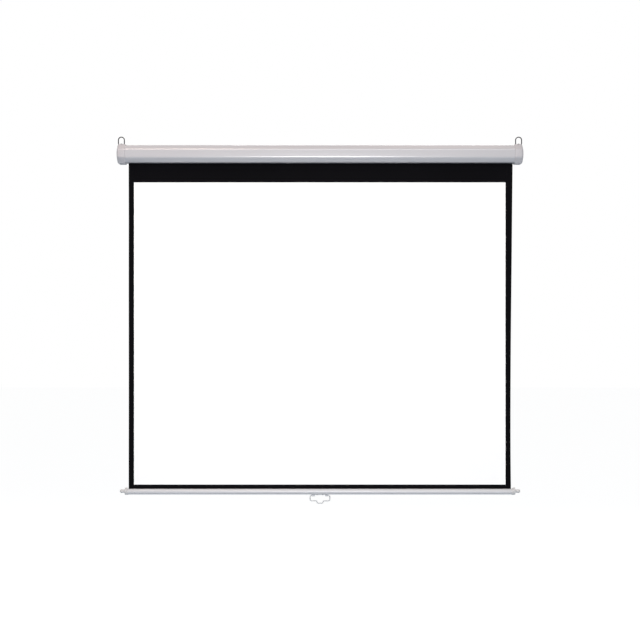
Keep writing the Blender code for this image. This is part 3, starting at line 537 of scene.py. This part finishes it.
def metal_material(name, colour, roughness, fineness, depth):
    """Plated, bare or spring steel: drawn lines along X and a cloudy tone."""
    tree, shader = new_material(name)
    place = tree.place()
    drawn = tree.effect("drawn_lines", Vector=place, Fineness=fineness)
    marks = tree.effect("scuffs", Vector=place, Size=200.0, Amount=0.3)["Mask"]
    tones = (0.12, 0.42)
    cloudy = tree.spread(drawn["Tone"], *tones, 0.0, 1.0)
    base = tree.mix(cloudy, shaded(colour, 0.78), shaded(colour, 1.15))
    tree.feed(shader, "Base Color", tree.mix(marks, base, shaded(colour, 1.6)))
    tree.feed(shader, "Roughness", tree.spread(drawn["Tone"], *tones, roughness + 0.08, roughness - 0.05))
    tree.feed(shader, "Metallic", 1.0)
    bump(tree, shader, drawn["Height"], 0.4, depth)


def cloth_material(name, border, settings):
    """Coated cloth: the front is white inside its black border, the back is black all over."""
    tree, shader = new_material(name)
    place = tree.add("ShaderNodeUVMap", {"uv_map": "cloth"}).outputs["UV"]
    woven = tree.effect("weave", Vector=place)
    dark = tree.mix(woven["Tone"], shaded(settings.black, 0.8), shaded(settings.black, 1.3))
    if border:
        axes = tree.add("ShaderNodeSeparateXYZ", Vector=place).outputs
        low, high = white_area(settings)
        inside = tree.math("GREATER_THAN", axes["X"], low[0])
        for edge in (
            tree.math("LESS_THAN", axes["X"], high[0]),
            tree.math("GREATER_THAN", axes["Y"], low[1]),
            tree.math("LESS_THAN", axes["Y"], high[1]),
        ):
            inside = tree.math("MULTIPLY", inside, edge)
        light = tree.mix(woven["Tone"], shaded(settings.white, 0.985), shaded(settings.white, 1.01))
        tree.feed(shader, "Base Color", tree.mix(inside, dark, light))
        tree.feed(shader, "Roughness", tree.spread(inside, 0.0, 1.0, 0.72, 0.92))
    else:
        tree.feed(shader, "Base Color", dark)
        tree.feed(shader, "Roughness", tree.spread(woven["Tone"], 0.3, 0.7, 0.66, 0.76))
    tree.feed(shader, "Specular IOR Level", 0.03)
    bump(tree, shader, woven["Height"], 0.25, 0.00006)


def paper_material(name, colour, lift):
    """Seamless pale paper for the floor, lit up towards white where the camera looks at it."""
    tree, shader = new_material(name)
    grained = tree.effect("surface_grain", Vector=tree.place(), Grain=60.0, Drift=0.4)
    tree.feed(shader, "Base Color", tree.mix(grained["Tone"], shaded(colour, 0.99), shaded(colour, 1.01)))
    tree.feed(shader, "Roughness", 0.95)
    tree.feed(shader, "Specular IOR Level", 0.1)
    tree.feed(shader, "Emission Color", (1.0, 0.965, 0.93, 1.0))
    seen = tree.add("ShaderNodeLightPath").outputs["Is Camera Ray"]
    tree.feed(shader, "Emission Strength", tree.math("MULTIPLY", seen, lift))


def make_materials(scene):
    for make in (grain_group, drawn_group, scuff_group, weave_group):
        make()
    casing, ring, bar = scene.screen_casing, scene.screen_rings, scene.screen_bar
    # Colour, roughness, fineness of the grain and depth of its bump in metres.
    coat_material("painted_casing", casing.paint, 0.25, 520.0, 0.00003, tone=0.008, level=1.0)
    coat_material("cap_moulding", casing.cap_plastic, 0.34, 1100.0, 0.00003, tone=0.012)
    coat_material("bar_enamel", bar.paint, 0.32, 620.0, 0.00002, tone=0.01, level=0.55)
    coat_material("plug_moulding", bar.plug, 0.45, 1900.0, 0.00008)
    coat_material("handle_coat", bar.handle, 0.38, 1500.0, 0.00006)
    coat_material("black_moulding", (0.018, 0.018, 0.020), 0.5, 1600.0, 0.0001)
    coat_material("nylon", (0.78, 0.77, 0.72), 0.48, 1200.0, 0.00006, level=0.4)
    # Colour, roughness, fineness of the drawn lines and depth of their bump in metres.
    metal_material("dark_plating", ring.plating, 0.40, 900.0, 0.00005)
    metal_material("bright_plating", (0.58, 0.58, 0.59), 0.30, 900.0, 0.00005)
    metal_material("bare_tube", (0.46, 0.455, 0.45), 0.42, 500.0, 0.00008)
    metal_material("spring_wire", (0.27, 0.265, 0.27), 0.38, 1100.0, 0.00004)
    cloth_material("cloth_front", True, scene.screen_cloth)
    cloth_material("cloth_back", False, scene.screen_cloth)
    paper_material("studio_paper", (0.39, 0.46, 0.53), scene.screen_stage.lift)


# Where things are, worked out from the frame.


def middle_of(node):
    low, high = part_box(node)
    return (low + high) / 2


def size_of(node):
    low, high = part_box(node)
    return high - low


def end_of(node, axis, side):
    """The middle of one end of a node's box along an axis."""
    low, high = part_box(node)
    point = (low + high) / 2
    point[axis] = high[axis] if side > 0 else low[axis]
    return point


def white_area(cloth):
    """Lower left and upper right corner of the white viewing area, across and up."""
    low_z = end_of("bottom_bar", 2, 1).z + cloth.bottom_border
    left = -cloth.view_width / 2 - cloth.view_shift
    return (left, low_z), (left + cloth.view_width, low_z + cloth.view_height)


def casing_corners(settings, gap=0.0):
    """Corners of the casing's outline, a gap larger all round, from the bottom rear over the top."""
    middle = middle_of("casing_tube")
    far = size_of("casing_tube").z / 2 + gap
    near = far - settings.chamfer - gap * (2 - math.sqrt(2))
    right_half = [(near, -far), (far, -near), (far, near), (near, far)]
    left_half = [(-y, z) for y, z in reversed(right_half)]
    return [(middle.y + y, middle.z + z) for y, z in right_half + left_half]


def casing_bends(settings, gap=0.0):
    """The bend radius at each of those corners."""
    sides = (settings.lower_bend, settings.upper_bend, settings.top_bend)
    return [radius + gap for radius in (settings.foot_bend, *sides, *reversed(sides), settings.front_bend)]


# Screws.

# A head's height and a shank's radius as shares of the head's width.
HEAD_HEIGHT = 0.31
SHANK_RADIUS = 0.26


def pan_head_screw(name, place, length, head_radius, head_height, shank_radius):
    """A pan head screw with a cross recess, along +Z of its place with the head's underside at 0."""
    rim = 0.35
    profile = [(0.0, head_height)]
    for turn in sweep(0, QUARTER_TURN, BEND_STEPS)[1:]:
        height = head_height * (rim + (1 - rim) * math.cos(turn))
        profile.append((head_radius * math.sin(turn), height))
    profile += [(head_radius, 0.0), (shank_radius, 0.0), (shank_radius, -length), (0.0, -length)]
    screw = turned(name, profile, Matrix.Identity(4), steps=SMALL_ROUND)
    slot, reach = head_radius * 0.12, head_radius * 0.55
    deep, high = head_height * 0.35, head_height * 1.5
    cuts = []
    for part, x, y in (("slot", reach, slot), ("cross", slot, reach)):
        bm = bmesh.new()
        middle = Matrix.Translation((0, 0, (deep + high) / 2))
        bmesh.ops.create_cube(bm, size=1, matrix=middle @ Matrix.Diagonal((2 * x, 2 * y, high - deep, 1)))
        cuts.append(rough_object(bm, f"{name}_{part}"))
    combine(screw, cuts, "DIFFERENCE")
    screw.data.transform(place)
    return screw


def screw_for(node, facing, name, finish, body):
    """A detailed screw in the place of a CAD screw whose head faces this way."""
    axis, side, turn = HEADS[facing]
    size = size_of(node)
    across, length = size[(axis + 1) % 3], size[axis]
    head_height = across * HEAD_HEIGHT
    seat = end_of(node, axis, side)
    seat[axis] -= side * head_height
    place = Matrix.Translation(seat) @ turn
    screw = pan_head_screw(name, place, length - head_height, across / 2, head_height, across * SHANK_RADIUS)
    dress(screw, body, [finish], [node])


# One operator for each piece or group of like pieces.


class SCREEN_OT_materials(bpy.types.Operator):
    """Make the finishes and the effects that they share"""

    bl_idname = "projector_screen.materials"
    bl_label = "Finishes"
    bl_options = {"REGISTER", "UNDO"}

    def execute(self, context):
        make_materials(context.scene)
        return {"FINISHED"}


class SCREEN_OT_casing(bpy.types.Operator):
    """Roll the eight-sided casing with its slot and lips"""

    bl_idname = "projector_screen.casing"
    bl_label = "Casing"
    bl_options = {"REGISTER", "UNDO"}

    def execute(self, context):
        settings = context.scene.screen_casing
        low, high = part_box("casing_tube")
        cloth_y = middle_of("screen_cloth").y
        rear, front = cloth_y + settings.slot / 2, cloth_y - settings.slot / 2
        lip_z = low.z + settings.lip
        outline = [(rear, lip_z), (rear, low.z), *casing_corners(settings), (front, low.z), (front, lip_z)]
        bends = [0, settings.lip_bend, *casing_bends(settings), settings.lip_bend, 0]
        path = rounded([(low.x, y, z) for y, z in outline], bends, closed=False)
        sheet = rolled(path, high.x - low.x, middle_of("casing_tube"))
        casing = walled(sheet, "rolled_casing", settings.wall, -1)
        dress(casing, "housing", ["painted_casing"], ["casing_tube"], sharp=25)
        return {"FINISHED"}


class SCREEN_OT_end_caps(bpy.types.Operator):
    """Mould the domed end caps and drive their rear screws"""

    bl_idname = "projector_screen.end_caps"
    bl_label = "End Caps"
    bl_options = {"REGISTER", "UNDO"}

    def execute(self, context):
        settings = context.scene.screen_casing
        for side_name, side in SIDES:
            node = f"end_cap_{side_name}"
            cap = self.shell(settings, node, side_name, side)
            cuts = [self.pocket(settings, node, side), *self.wells(side_name)]
            combine(cap, cuts, "DIFFERENCE")
            dress(cap, "housing", ["cap_moulding"], [node], sharp=38)
            for row in ROWS:
                screw, name = f"cap_screw_{side_name}_{row}", f"rear_screw_{side_name}_{row}"
                screw_for(screw, "rear", name, "bright_plating", "housing")
        return {"FINISHED"}

    def stations(self, settings, flats, rim_x, tip_x, side):
        """Places along X and the width across the flats there: rounded rim, seam, shoulder and dome."""
        lip, shoulder, seam = settings.cap_lip, settings.cap_shoulder, 0.0004
        top = flats / 2 - shoulder
        stations = [
            (rim_x + side * lip * (1 - math.cos(turn)), flats - 2 * lip * (1 - math.sin(turn)))
            for turn in sweep(0, QUARTER_TURN, 5)
        ]
        for offset, depth in ((-1, 0), (-0.5, seam), (0.5, seam), (1, 0)):
            stations.append((tip_x - side * (settings.cap_seam - offset * seam), flats - 2 * depth))
        for turn in sweep(0, QUARTER_TURN, BEND_STEPS):
            reach = settings.cap_dome + shoulder * (1 - math.sin(turn))
            stations.append((tip_x - side * reach, 2 * (top + shoulder * math.cos(turn))))
        rings = 9
        for step in range(1, rings):
            share = 1 - step / rings
            stations.append((tip_x - side * settings.cap_dome * share * share, 2 * top * share))
        return stations

    def shell(self, settings, node, side_name, side):
        """The outside, pushed from station to station, and the pockets for the casing and the bracket."""
        middle = middle_of(node)
        flats = size_of(node).z
        rim_x = end_of(node, 0, -side).x
        tip_x = end_of(node, 0, side).x - side * settings.cap_back
        stations = self.stations(settings, flats, rim_x, tip_x, side)
        first_x, rim_flats = stations[0]
        bm = bmesh.new()
        upright = Matrix.Rotation(QUARTER_TURN, 4, "Y") @ Matrix.Rotation(HALF_SIDE, 4, "Z")
        bmesh.ops.create_circle(
            bm, cap_ends=True, segments=OCTAGON, radius=rim_flats / 2 / math.cos(HALF_SIDE),
            matrix=Matrix.Translation((first_x, middle.y, middle.z)) @ upright,
        )
        side_corners = [vert for vert in bm.verts if abs(vert.co.z - middle.z) < flats / 4]
        ends = [vert for vert in bm.verts if vert not in side_corners]
        for corners, radius in ((side_corners, settings.cap_side_corner), (ends, settings.cap_corner)):
            bmesh.ops.bevel(
                bm, geom=corners, offset=radius * math.tan(HALF_SIDE), offset_type="OFFSET",
                segments=BEND_STEPS, profile=0.5, affect="VERTICES", material=-1,
            )
        rim = face = bm.faces[:][0]
        centre = Matrix.Translation((0, -middle.y, -middle.z))
        for (last_x, last_flats), (x, across) in zip(stations, stations[1:]):
            face, ring = push(bm, face, x - last_x, keep=face is rim)
            spread = across / last_flats
            bmesh.ops.scale(bm, vec=(1, spread, spread), verts=ring, space=centre)
        bracket = f"roller_bracket_{side_name}"
        casing_flats = size_of("casing_tube").z + 2 * CLEARANCE
        bracket_flats = size_of(bracket).z + 2 * CLEARANCE
        wall_x = end_of(bracket, 0, side).x + side * CLEARANCE
        for inset, depth in (
            ((rim_flats - casing_flats) / 2, settings.cap_pocket),
            ((casing_flats - bracket_flats) / 2, abs(wall_x - rim_x) - settings.cap_pocket),
        ):
            bmesh.ops.inset_individual(bm, faces=[rim], thickness=inset, use_even_offset=True)
            rim, _ = push(bm, rim, side * depth)
        outward(bm)
        return rough_object(bm, f"moulded_cap_{side_name}")

    def pocket(self, settings, node, side):
        """What is cut out of a cap for the casing's slanting sides, just clear of the pocket's own walls."""
        gap, before, short = 0.00025, 0.002, 0.0001
        start_x = end_of(node, 0, -side).x - side * before
        corners = [(start_x, y, z) for y, z in casing_corners(settings, gap)]
        bm = bmesh.new()
        face = bm.faces.new([bm.verts.new(co) for co in rounded(corners, casing_bends(settings, gap), True)])
        push(bm, face, side * (before + settings.cap_pocket - short), keep=True)
        outward(bm)
        return rough_object(bm, f"{node}_pocket")

    def wells(self, side_name):
        """The round recesses for the heads of a cap's rear screws."""
        out, deep = 0.002, 0.0022
        for row in ROWS:
            node = f"cap_screw_{side_name}_{row}"
            radius = size_of(node).x / 2 + CLEARANCE
            place = Matrix.Translation(end_of(node, 1, 1)) @ TO_REAR
            profile = [(0, out), (radius, out), (radius, -deep), (0, -deep)]
            yield turned(f"{node}_well", profile, place, SMALL_ROUND)


class SCREEN_OT_rings(bpy.types.Operator):
    """Bend the hanging rings and the clips over their feet"""

    bl_idname = "projector_screen.rings"
    bl_label = "Hanging Rings"
    bl_options = {"REGISTER", "UNDO"}

    def execute(self, context):
        settings = context.scene.screen_rings
        for side_name, _ in SIDES:
            self.ring(settings, side_name)
            self.clip(settings, side_name)
            screw, name = f"clip_screw_{side_name}", f"clip_top_screw_{side_name}"
            screw_for(screw, "up", name, "dark_plating", "housing")
        return {"FINISHED"}

    def ring(self, settings, side_name):
        node = f"hanging_ring_{side_name}"
        low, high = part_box(node)
        y = (low.y + high.y) / 2
        radius = settings.wire / 2
        left, right = low.x + radius, high.x - radius
        foot, top = low.z + radius, high.z - radius
        corners = [(left, y, foot), (right, y, foot), (right, y, top), (left, y, top)]
        # Just under half the width, so that the two arcs of the round top don't meet.
        arch = (right - left) / 2 * 0.99
        radii = [settings.foot_bend, settings.foot_bend, arch, arch]
        ring = wire(f"ring_wire_{side_name}", rounded(corners, radii, True, steps=18), radius, True)
        dress(ring, node, ["dark_plating"], [node])

    def clip(self, settings, side_name):
        """A strap over the ring's foot, with a flange in front that its screw holds down."""
        node = f"ring_clip_{side_name}"
        low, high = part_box(node)
        ring_foot = end_of(f"hanging_ring_{side_name}", 2, -1)
        half_steel = settings.clip_steel / 2
        radius = settings.wire / 2 + CLEARANCE + half_steel
        axis = ring_foot + Vector((0, 0, settings.wire / 2))
        foot_z = low.z + half_steel
        points = [
            (low.x, axis.y + radius, foot_z),
            *arc(low.x, axis, radius, sweep(0, HALF_TURN, 16)),
            (low.x, axis.y - radius, foot_z),
            (low.x, low.y + half_steel, foot_z),
        ]
        sheet = rolled(points, high.x - low.x, axis)
        clip = walled(sheet, f"ring_strap_{side_name}", settings.clip_steel)
        soften(clip, 60, 0.00025)
        dress(clip, "housing", ["dark_plating"], [node])


class SCREEN_OT_cloth(bpy.types.Operator):
    """Hang the screen cloth, its lowest border and the turns on the roller"""

    bl_idname = "projector_screen.cloth"
    bl_label = "Screen Cloth"
    bl_options = {"REGISTER", "UNDO"}

    def execute(self, context):
        settings = context.scene.screen_cloth
        low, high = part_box("screen_cloth")
        split = end_of("bottom_bar", 2, 1).z + settings.bottom_border
        hung = self.sheet("hung_cloth", "housing", settings, split, high.z, settings.rows)
        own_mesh(hung)
        border = self.sheet("lowest_border", "screen_bar", settings, low.z, split, 3)
        self.wound(settings)
        return {"FINISHED"}

    def edge(self, settings, z):
        """Where the right edge lies at a height: it draws in towards the bottom, as in the photo."""
        low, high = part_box("screen_cloth")
        share = clamped((high.z - z) / (high.z - low.z))
        # Most of half a wave, so that the edge comes a little of the way back at the bottom.
        draw_in = settings.draw_in * math.sin(0.85 * HALF_TURN * share * share)
        return high.x + settings.swell * (1 - share) ** 2 - draw_in

    def sheet(self, name, body, settings, bottom, top, rows):
        """A stretch of the hanging cloth between two heights, its front towards the viewer."""
        low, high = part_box("screen_cloth")
        middle = Matrix.Translation((0, (low.y + high.y) / 2, (bottom + top) / 2))
        spread = Matrix.Diagonal((high.x - low.x, top - bottom, 1, 1))
        bm = bmesh.new()
        bmesh.ops.create_grid(
            bm, x_segments=settings.columns, y_segments=rows, size=0.5,
            matrix=middle @ Matrix.Rotation(QUARTER_TURN, 4, "X") @ spread,
        )
        bmesh.ops.recalc_face_normals(bm, faces=bm.faces[:])
        for face in bm.faces:
            if face.normal.y > 0:
                face.normal_flip()
        # Shares of the half width past which the right edge leans and both edges curl.
        lean_from, curl_from = 0.9, 0.955
        for vert in bm.verts:
            if vert.co.x > 0:
                reach = self.edge(settings, vert.co.z) / high.x
                share = max(0.0, (vert.co.x / high.x - lean_from) / (1 - lean_from))
                vert.co.x *= 1 + (reach - 1) * share * share
        map_cloth(bm, lambda co: (co.x, co.z))
        slot_z, bar_z = end_of("casing_tube", 2, -1).z, end_of("bottom_bar", 2, 1).z
        # The cloth is held flat at the slot and the bar, and is free a quarter of a metre from them.
        held = 0.25
        ripple, ripples_down, ripples_across = 0.0007, 9.0, 3.1
        for vert in bm.verts:
            free = clamped((slot_z - vert.co.z) / held) * clamped((vert.co.z - bar_z) / held)
            side = max(0.0, (abs(vert.co.x) / high.x - curl_from) / (1 - curl_from))
            wave = ripple * math.sin(vert.co.z * ripples_down + vert.co.x * ripples_across)
            vert.co.y += free * (settings.curl * side * side + wave)
        made = walled(bm, name, settings.thickness)
        dress(made, body, ["cloth_front", "cloth_back"], ["screen_cloth"], sharp=50)
        for face in made.data.polygons:
            face.material_index = 0 if face.normal.y < -0.5 else 1
        return made

    def wound(self, settings):
        """The turns that stay on the roller, black side out."""
        low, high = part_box("cloth_wraps")
        roller = middle_of("roller_tube")
        width, half = high.x - low.x, settings.thickness / 2
        outer, inner = high.y - roller.y, size_of("roller_tube").y / 2 + CLEARANCE
        turns, steps = 1.25, 110
        points = []
        for step in range(steps + 1):
            share = step / steps
            turn = FULL_TURN * turns * share
            radius = outer - half - (outer - inner - settings.thickness) * share
            points += arc(low.x, roller, radius, [turn])
        bm = rolled(points, width, roller)
        map_cloth(bm, lambda co: (co.x, math.atan2(co.z - roller.z, co.y - roller.y) * outer))
        made = walled(bm, "wound_cloth", settings.thickness)
        dress(made, "roller", ["cloth_back"], ["cloth_wraps"], sharp=50)


class SCREEN_OT_bar(bpy.types.Operator):
    """Draw the round bottom bar with the slot that takes the cloth, and its end plugs"""

    bl_idname = "projector_screen.bar"
    bl_label = "Bottom Bar"
    bl_options = {"REGISTER", "UNDO"}

    def execute(self, context):
        self.tube(context.scene.screen_bar)
        for side_name, side in SIDES:
            self.plug(side_name, side)
        return {"FINISHED"}

    def tube(self, settings):
        low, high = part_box("bottom_bar")
        axis = (low + high) / 2
        radius = (high.y - low.y) / 2
        opening = math.asin(settings.slot / 2 / radius)
        first = QUARTER_TURN + opening
        points = arc(low.x, axis, radius, sweep(first, first + FULL_TURN - 2 * opening, 96))
        tube = walled(rolled(points, high.x - low.x, axis), "bar_tube", settings.wall, -1)
        dress(tube, "screen_bar", ["bar_enamel"], ["bottom_bar"])

    def plug(self, side_name, side):
        """Flange and stub stand a little above the bar's axis; the cup and barrel are on it."""
        node = f"bar_plug_{side_name}"
        turn = TO_RIGHT if side > 0 else TO_LEFT
        axis = middle_of("bottom_bar")
        bar_end = end_of("bottom_bar", 0, 1).x
        bar_radius = size_of("bottom_bar").y / 2
        tip = side * end_of(node, 0, side).x
        flange, flange_height = size_of(node).y / 2, 0.0088
        lifted = end_of(node, 2, 1).z - flange - axis.z
        flange_base = bar_end + CLEARANCE
        flange_top = flange_base + flange_height
        # The stub is a ball on a thinner neck, and the ball ends where it gets thinner than that.
        ball, neck = 0.0076, 0.00675
        profile = [(0, tip)]
        for angle in sweep(0, 1.3 * QUARTER_TURN, 13)[1:]:
            profile.append((ball * math.sin(angle), tip - ball * (1 - math.cos(angle))))
        fillet = 0.0012
        profile += [(neck, profile[-1][1] - 0.002), (neck, flange_top + fillet)]
        for angle in sweep(0, QUARTER_TURN, 4)[1:]:
            height = flange_top + fillet * (1 - math.sin(angle))
            profile.append((neck + fillet * (1 - math.cos(angle)), height))
        edge = 0.0018
        for base, first in ((flange_top - edge, 0.0), (flange_base + edge, QUARTER_TURN)):
            for angle in sweep(first, first + QUARTER_TURN, 5):
                profile.append((flange - edge + edge * math.sin(angle), base + edge * math.cos(angle)))
        profile.append((0, flange_base))
        place = Matrix.Translation((0, axis.y, axis.z + lifted)) @ turn
        plug = turned(f"end_plug_{side_name}", profile, place)
        # The cup round the bar's end, and the barrel inside it.
        cup_top, cup_foot, chamfer = flange_base + 0.004, bar_end - 0.0044, 0.0004
        cup_inner = bar_radius + CLEARANCE
        cup_outer = cup_inner + 0.0008
        barrel, barrel_foot, lead_in = bar_radius - 0.0015, bar_end - 0.018, 0.001
        profile = [
            (0, cup_top),
            (cup_outer, cup_top),
            (cup_outer, cup_foot + chamfer),
            (cup_outer - chamfer, cup_foot),
            (cup_inner, cup_foot),
            (cup_inner, flange_base),
            (barrel, flange_base),
            (barrel, barrel_foot + lead_in),
            (barrel - lead_in, barrel_foot),
            (0, barrel_foot),
        ]
        place = Matrix.Translation((0, axis.y, axis.z)) @ turn
        combine(plug, [turned(f"plug_cup_{side_name}", profile, place)], "UNION")
        dress(plug, "screen_bar", ["plug_moulding"], [node])


class SCREEN_OT_handle(bpy.types.Operator):
    """Bend the pull handle and the bracket that carries it under the bar"""

    bl_idname = "projector_screen.handle"
    bl_label = "Pull Handle"
    bl_options = {"REGISTER", "UNDO"}

    def execute(self, context):
        settings = context.scene.screen_bar
        self.handle(settings)
        self.bracket(settings)
        for side_name, _ in SIDES:
            screw, name = f"handle_screw_{side_name}", f"bracket_foot_screw_{side_name}"
            screw_for(screw, "down", name, "bright_plating", "screen_bar")
        return {"FINISHED"}

    def handle(self, settings):
        low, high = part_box("pull_handle")
        y = (low.y + high.y) / 2
        radius = settings.handle_wire / 2
        half, top, bottom = high.x - radius, high.z - radius, low.z + radius
        shoulder = top - 0.022
        wire_end, waist, grip = 0.020, 0.0130, 0.01125
        left = [(-wire_end, top), (-half, top), (-half, shoulder), (-waist, shoulder), (-grip, bottom)]
        right = [(-x, z) for x, z in reversed(left)]
        corner, bend = settings.handle_corner, settings.handle_bend
        radii = [0, corner, corner, bend, bend]
        path = rounded([(x, y, z) for x, z in left + right], radii + radii[::-1], False, steps=14)
        handle = wire("handle_wire", path, radius, False)
        dress(handle, "pull_handle", ["handle_coat"], ["pull_handle"])

    def bracket(self, settings):
        """A thin saddle under the bar, with a knuckle at each end that the handle's wire turns in."""
        low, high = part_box("handle_bracket")
        bar = middle_of("bottom_bar")
        radius = size_of("bottom_bar").y / 2 + CLEARANCE + settings.saddle_steel / 2
        half_spread = math.radians(50)
        angles = sweep(-QUARTER_TURN - half_spread, -QUARTER_TURN + half_spread, 28)
        sheet = rolled(arc(low.x, bar, radius, angles), high.x - low.x, bar)
        saddle = walled(sheet, "handle_saddle", settings.saddle_steel)
        pivot_y = middle_of("pull_handle").y
        pivot_z = end_of("pull_handle", 2, 1).z - settings.handle_wire / 2
        bore, outer = settings.handle_wire / 2 + CLEARANCE, 0.0036
        half, knuckle_x = 0.007, 0.027
        profile = [(bore, half), (outer, half), (outer, -half), (bore, -half), (bore, half)]
        knuckles = []
        for side_name, side in SIDES:
            place = Matrix.Translation((side * knuckle_x, pivot_y, pivot_z)) @ TO_RIGHT
            knuckles.append(turned(f"knuckle_{side_name}", profile, place, SMALL_ROUND))
        combine(saddle, knuckles, "UNION")
        dress(saddle, "screen_bar", ["bar_enamel"], ["handle_bracket"])


class SCREEN_OT_mechanism(bpy.types.Operator):
    """Finish the roller, the spring and the lock inside the casing"""

    bl_idname = "projector_screen.mechanism"
    bl_label = "Roller and Spring"
    bl_options = {"REGISTER", "UNDO"}

    def execute(self, context):
        sides = [side_name for side_name, _ in SIDES]
        plated = ["spring_shaft", "ratchet_hub", "pawl_pin", "idle_pin", "lock_pawl"]
        plated += [f"roller_bracket_{side_name}" for side_name in sides]
        plated += [f"bracket_screw_{side_name}_{row}" for side_name in sides for row in ROWS]
        for finish, nodes in (
            ("bright_plating", plated),
            ("bare_tube", ["roller_tube"]),
            ("spring_wire", ["hem_rod"]),
            ("black_moulding", ["lock_head", "idle_plug", "spring_collar"]),
            ("nylon", ["shaft_bearing", "idle_bush"]),
        ):
            for node in nodes:
                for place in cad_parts[node].material_slots:
                    place.material = bpy.data.materials[finish]
        self.spring()
        return {"FINISHED"}

    def spring(self):
        low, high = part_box("torsion_spring")
        axis = middle_of("roller_tube")
        radius, wire_radius, tail = 0.010, 0.0008, 0.004
        turns, steps_a_turn = 24, 28
        start, length = low.x + tail, high.x - low.x - 2 * tail
        points = [(low.x, axis.y, axis.z + radius)]
        for index in range(turns * steps_a_turn + 1):
            turn = FULL_TURN * index / steps_a_turn
            x = start + length * index / (turns * steps_a_turn)
            points.append((x, axis.y + radius * math.sin(turn), axis.z + radius * math.cos(turn)))
        points.append((high.x, axis.y, axis.z + radius))
        spring = wire("coil_spring", points, wire_radius, False, sides=3)
        dress(spring, "roller", ["spring_wire"], ["torsion_spring"])


class SCREEN_OT_stage(bpy.types.Operator):
    """Lay the floor, light the room and place the camera"""

    bl_idname = "projector_screen.stage"
    bl_label = "Stage"
    bl_options = {"REGISTER", "UNDO"}

    def execute(self, context):
        scene = context.scene
        settings = scene.screen_stage
        self.floor(settings)
        self.room(scene, settings)
        white, warm = (1.0, 1.0, 1.0), (1.0, 0.80, 0.70)
        # Name, place, the point it aims at, width, height, power and colour.
        self.lamp(scene, "soft_light", (0.6, -6.5, 3.5), (0, 0, -0.6), 3.0, 2.0, settings.soft, white)
        self.lamp(scene, "near_light", (0.05, -4.75, -0.72), (0.05, 0, -0.72), 0.3, 0.3, settings.near, white)
        self.lamp(scene, "rear_light", (0.6, 5.0, 2.6), (0, 0, -0.6), 3.0, 2.0, settings.rear, white)
        self.lamp(scene, "top_light", (-0.88, -1.5, 1.96), (-0.56, 0, 0), 0.7, 1.0, settings.top, warm)
        self.lamp(scene, "far_top_light", (0.75, 0.5, 2.2), (0.5, 0, 0), 0.9, 0.6, settings.far_top, warm)
        self.camera(scene, settings)
        scene.view_settings.view_transform = "Standard"
        return {"FINISHED"}

    def floor(self, settings):
        half = 30.0
        place = Matrix.Translation((0, 0, end_of("pull_handle", 2, -1).z - settings.floor_drop))
        bm = bmesh.new()
        bmesh.ops.create_grid(bm, x_segments=1, y_segments=1, size=half, matrix=place)
        floor = rough_object(bm, "studio_floor")
        floor.data.materials.append(bpy.data.materials["studio_paper"])

    def room(self, scene, settings):
        """Even light all round, which the camera sees as plain white."""
        world = bpy.data.worlds.new("studio_room")
        world.use_nodes = True
        room = Tree(world.node_tree)
        white = (1.0, 1.0, 1.0, 1.0)
        even = world.node_tree.nodes["Background"]
        room.feed(even, "Color", white)
        room.feed(even, "Strength", settings.sky)
        backing = room.add("ShaderNodeBackground", Color=white, Strength=1.0)
        seen = room.add("ShaderNodeLightPath").outputs["Is Camera Ray"]
        both = room.add("ShaderNodeMixShader")
        for key, value in enumerate((seen, even.outputs[0], backing.outputs[0])):
            room.feed(both, key, value)
        room.feed(world.node_tree.nodes["World Output"], "Surface", both.outputs[0])
        scene.world = world

    def lamp(self, scene, name, place, aim, width, height, power, colour):
        light = bpy.data.lights.new(name, "AREA")
        light.shape = "RECTANGLE"
        light.size = width
        light.size_y = height
        light.energy = power
        light.color = colour
        lamp = bpy.data.objects.new(name, light)
        lamp.location = place
        lamp.rotation_euler = (Vector(aim) - Vector(place)).to_track_quat("-Z", "Y").to_euler()
        lamp.visible_camera = False
        scene.collection.objects.link(lamp)

    def camera(self, scene, settings):
        data = bpy.data.cameras.new("photo_camera")
        data.lens = settings.lens
        camera = bpy.data.objects.new("photo_camera", data)
        camera.location = (0, middle_of("screen_cloth").y - settings.distance, settings.height)
        camera.rotation_euler = (QUARTER_TURN, 0, 0)
        scene.collection.objects.link(camera)
        scene.camera = camera


SETTINGS = {
    "screen_casing": CasingSettings,
    "screen_rings": RingSettings,
    "screen_cloth": ClothSettings,
    "screen_bar": BarSettings,
    "screen_stage": StageSettings,
}
OPERATORS = (
    SCREEN_OT_materials,
    SCREEN_OT_casing,
    SCREEN_OT_end_caps,
    SCREEN_OT_rings,
    SCREEN_OT_cloth,
    SCREEN_OT_bar,
    SCREEN_OT_handle,
    SCREEN_OT_mechanism,
    SCREEN_OT_stage,
)


class SCREEN_PT_panel(bpy.types.Panel):
    """Sizes, colours and pieces of the projector screen"""

    bl_idname = "SCREEN_PT_panel"
    bl_label = "Projector Screen"
    bl_space_type = "VIEW_3D"
    bl_region_type = "UI"
    bl_category = "Screen"

    def draw(self, context):
        layout = self.layout
        for key, settings in SETTINGS.items():
            box = layout.box()
            for name in settings.__annotations__:
                box.prop(getattr(context.scene, key), name)
        for operator in OPERATORS:
            layout.operator(operator.bl_idname)


CLASSES = (*SETTINGS.values(), *OPERATORS, SCREEN_PT_panel)


def register():
    for cls in CLASSES:
        bpy.utils.register_class(cls)
    for key, settings in SETTINGS.items():
        setattr(bpy.types.Scene, key, PointerProperty(type=settings))


def unregister():
    for key in SETTINGS:
        delattr(bpy.types.Scene, key)
    for cls in reversed(CLASSES):
        bpy.utils.unregister_class(cls)


def main():
    register()
    for operator in OPERATORS:
        _, name = operator.bl_idname.split(".")
        getattr(bpy.ops.projector_screen, name)()


if __name__ == "__main__":
    main()
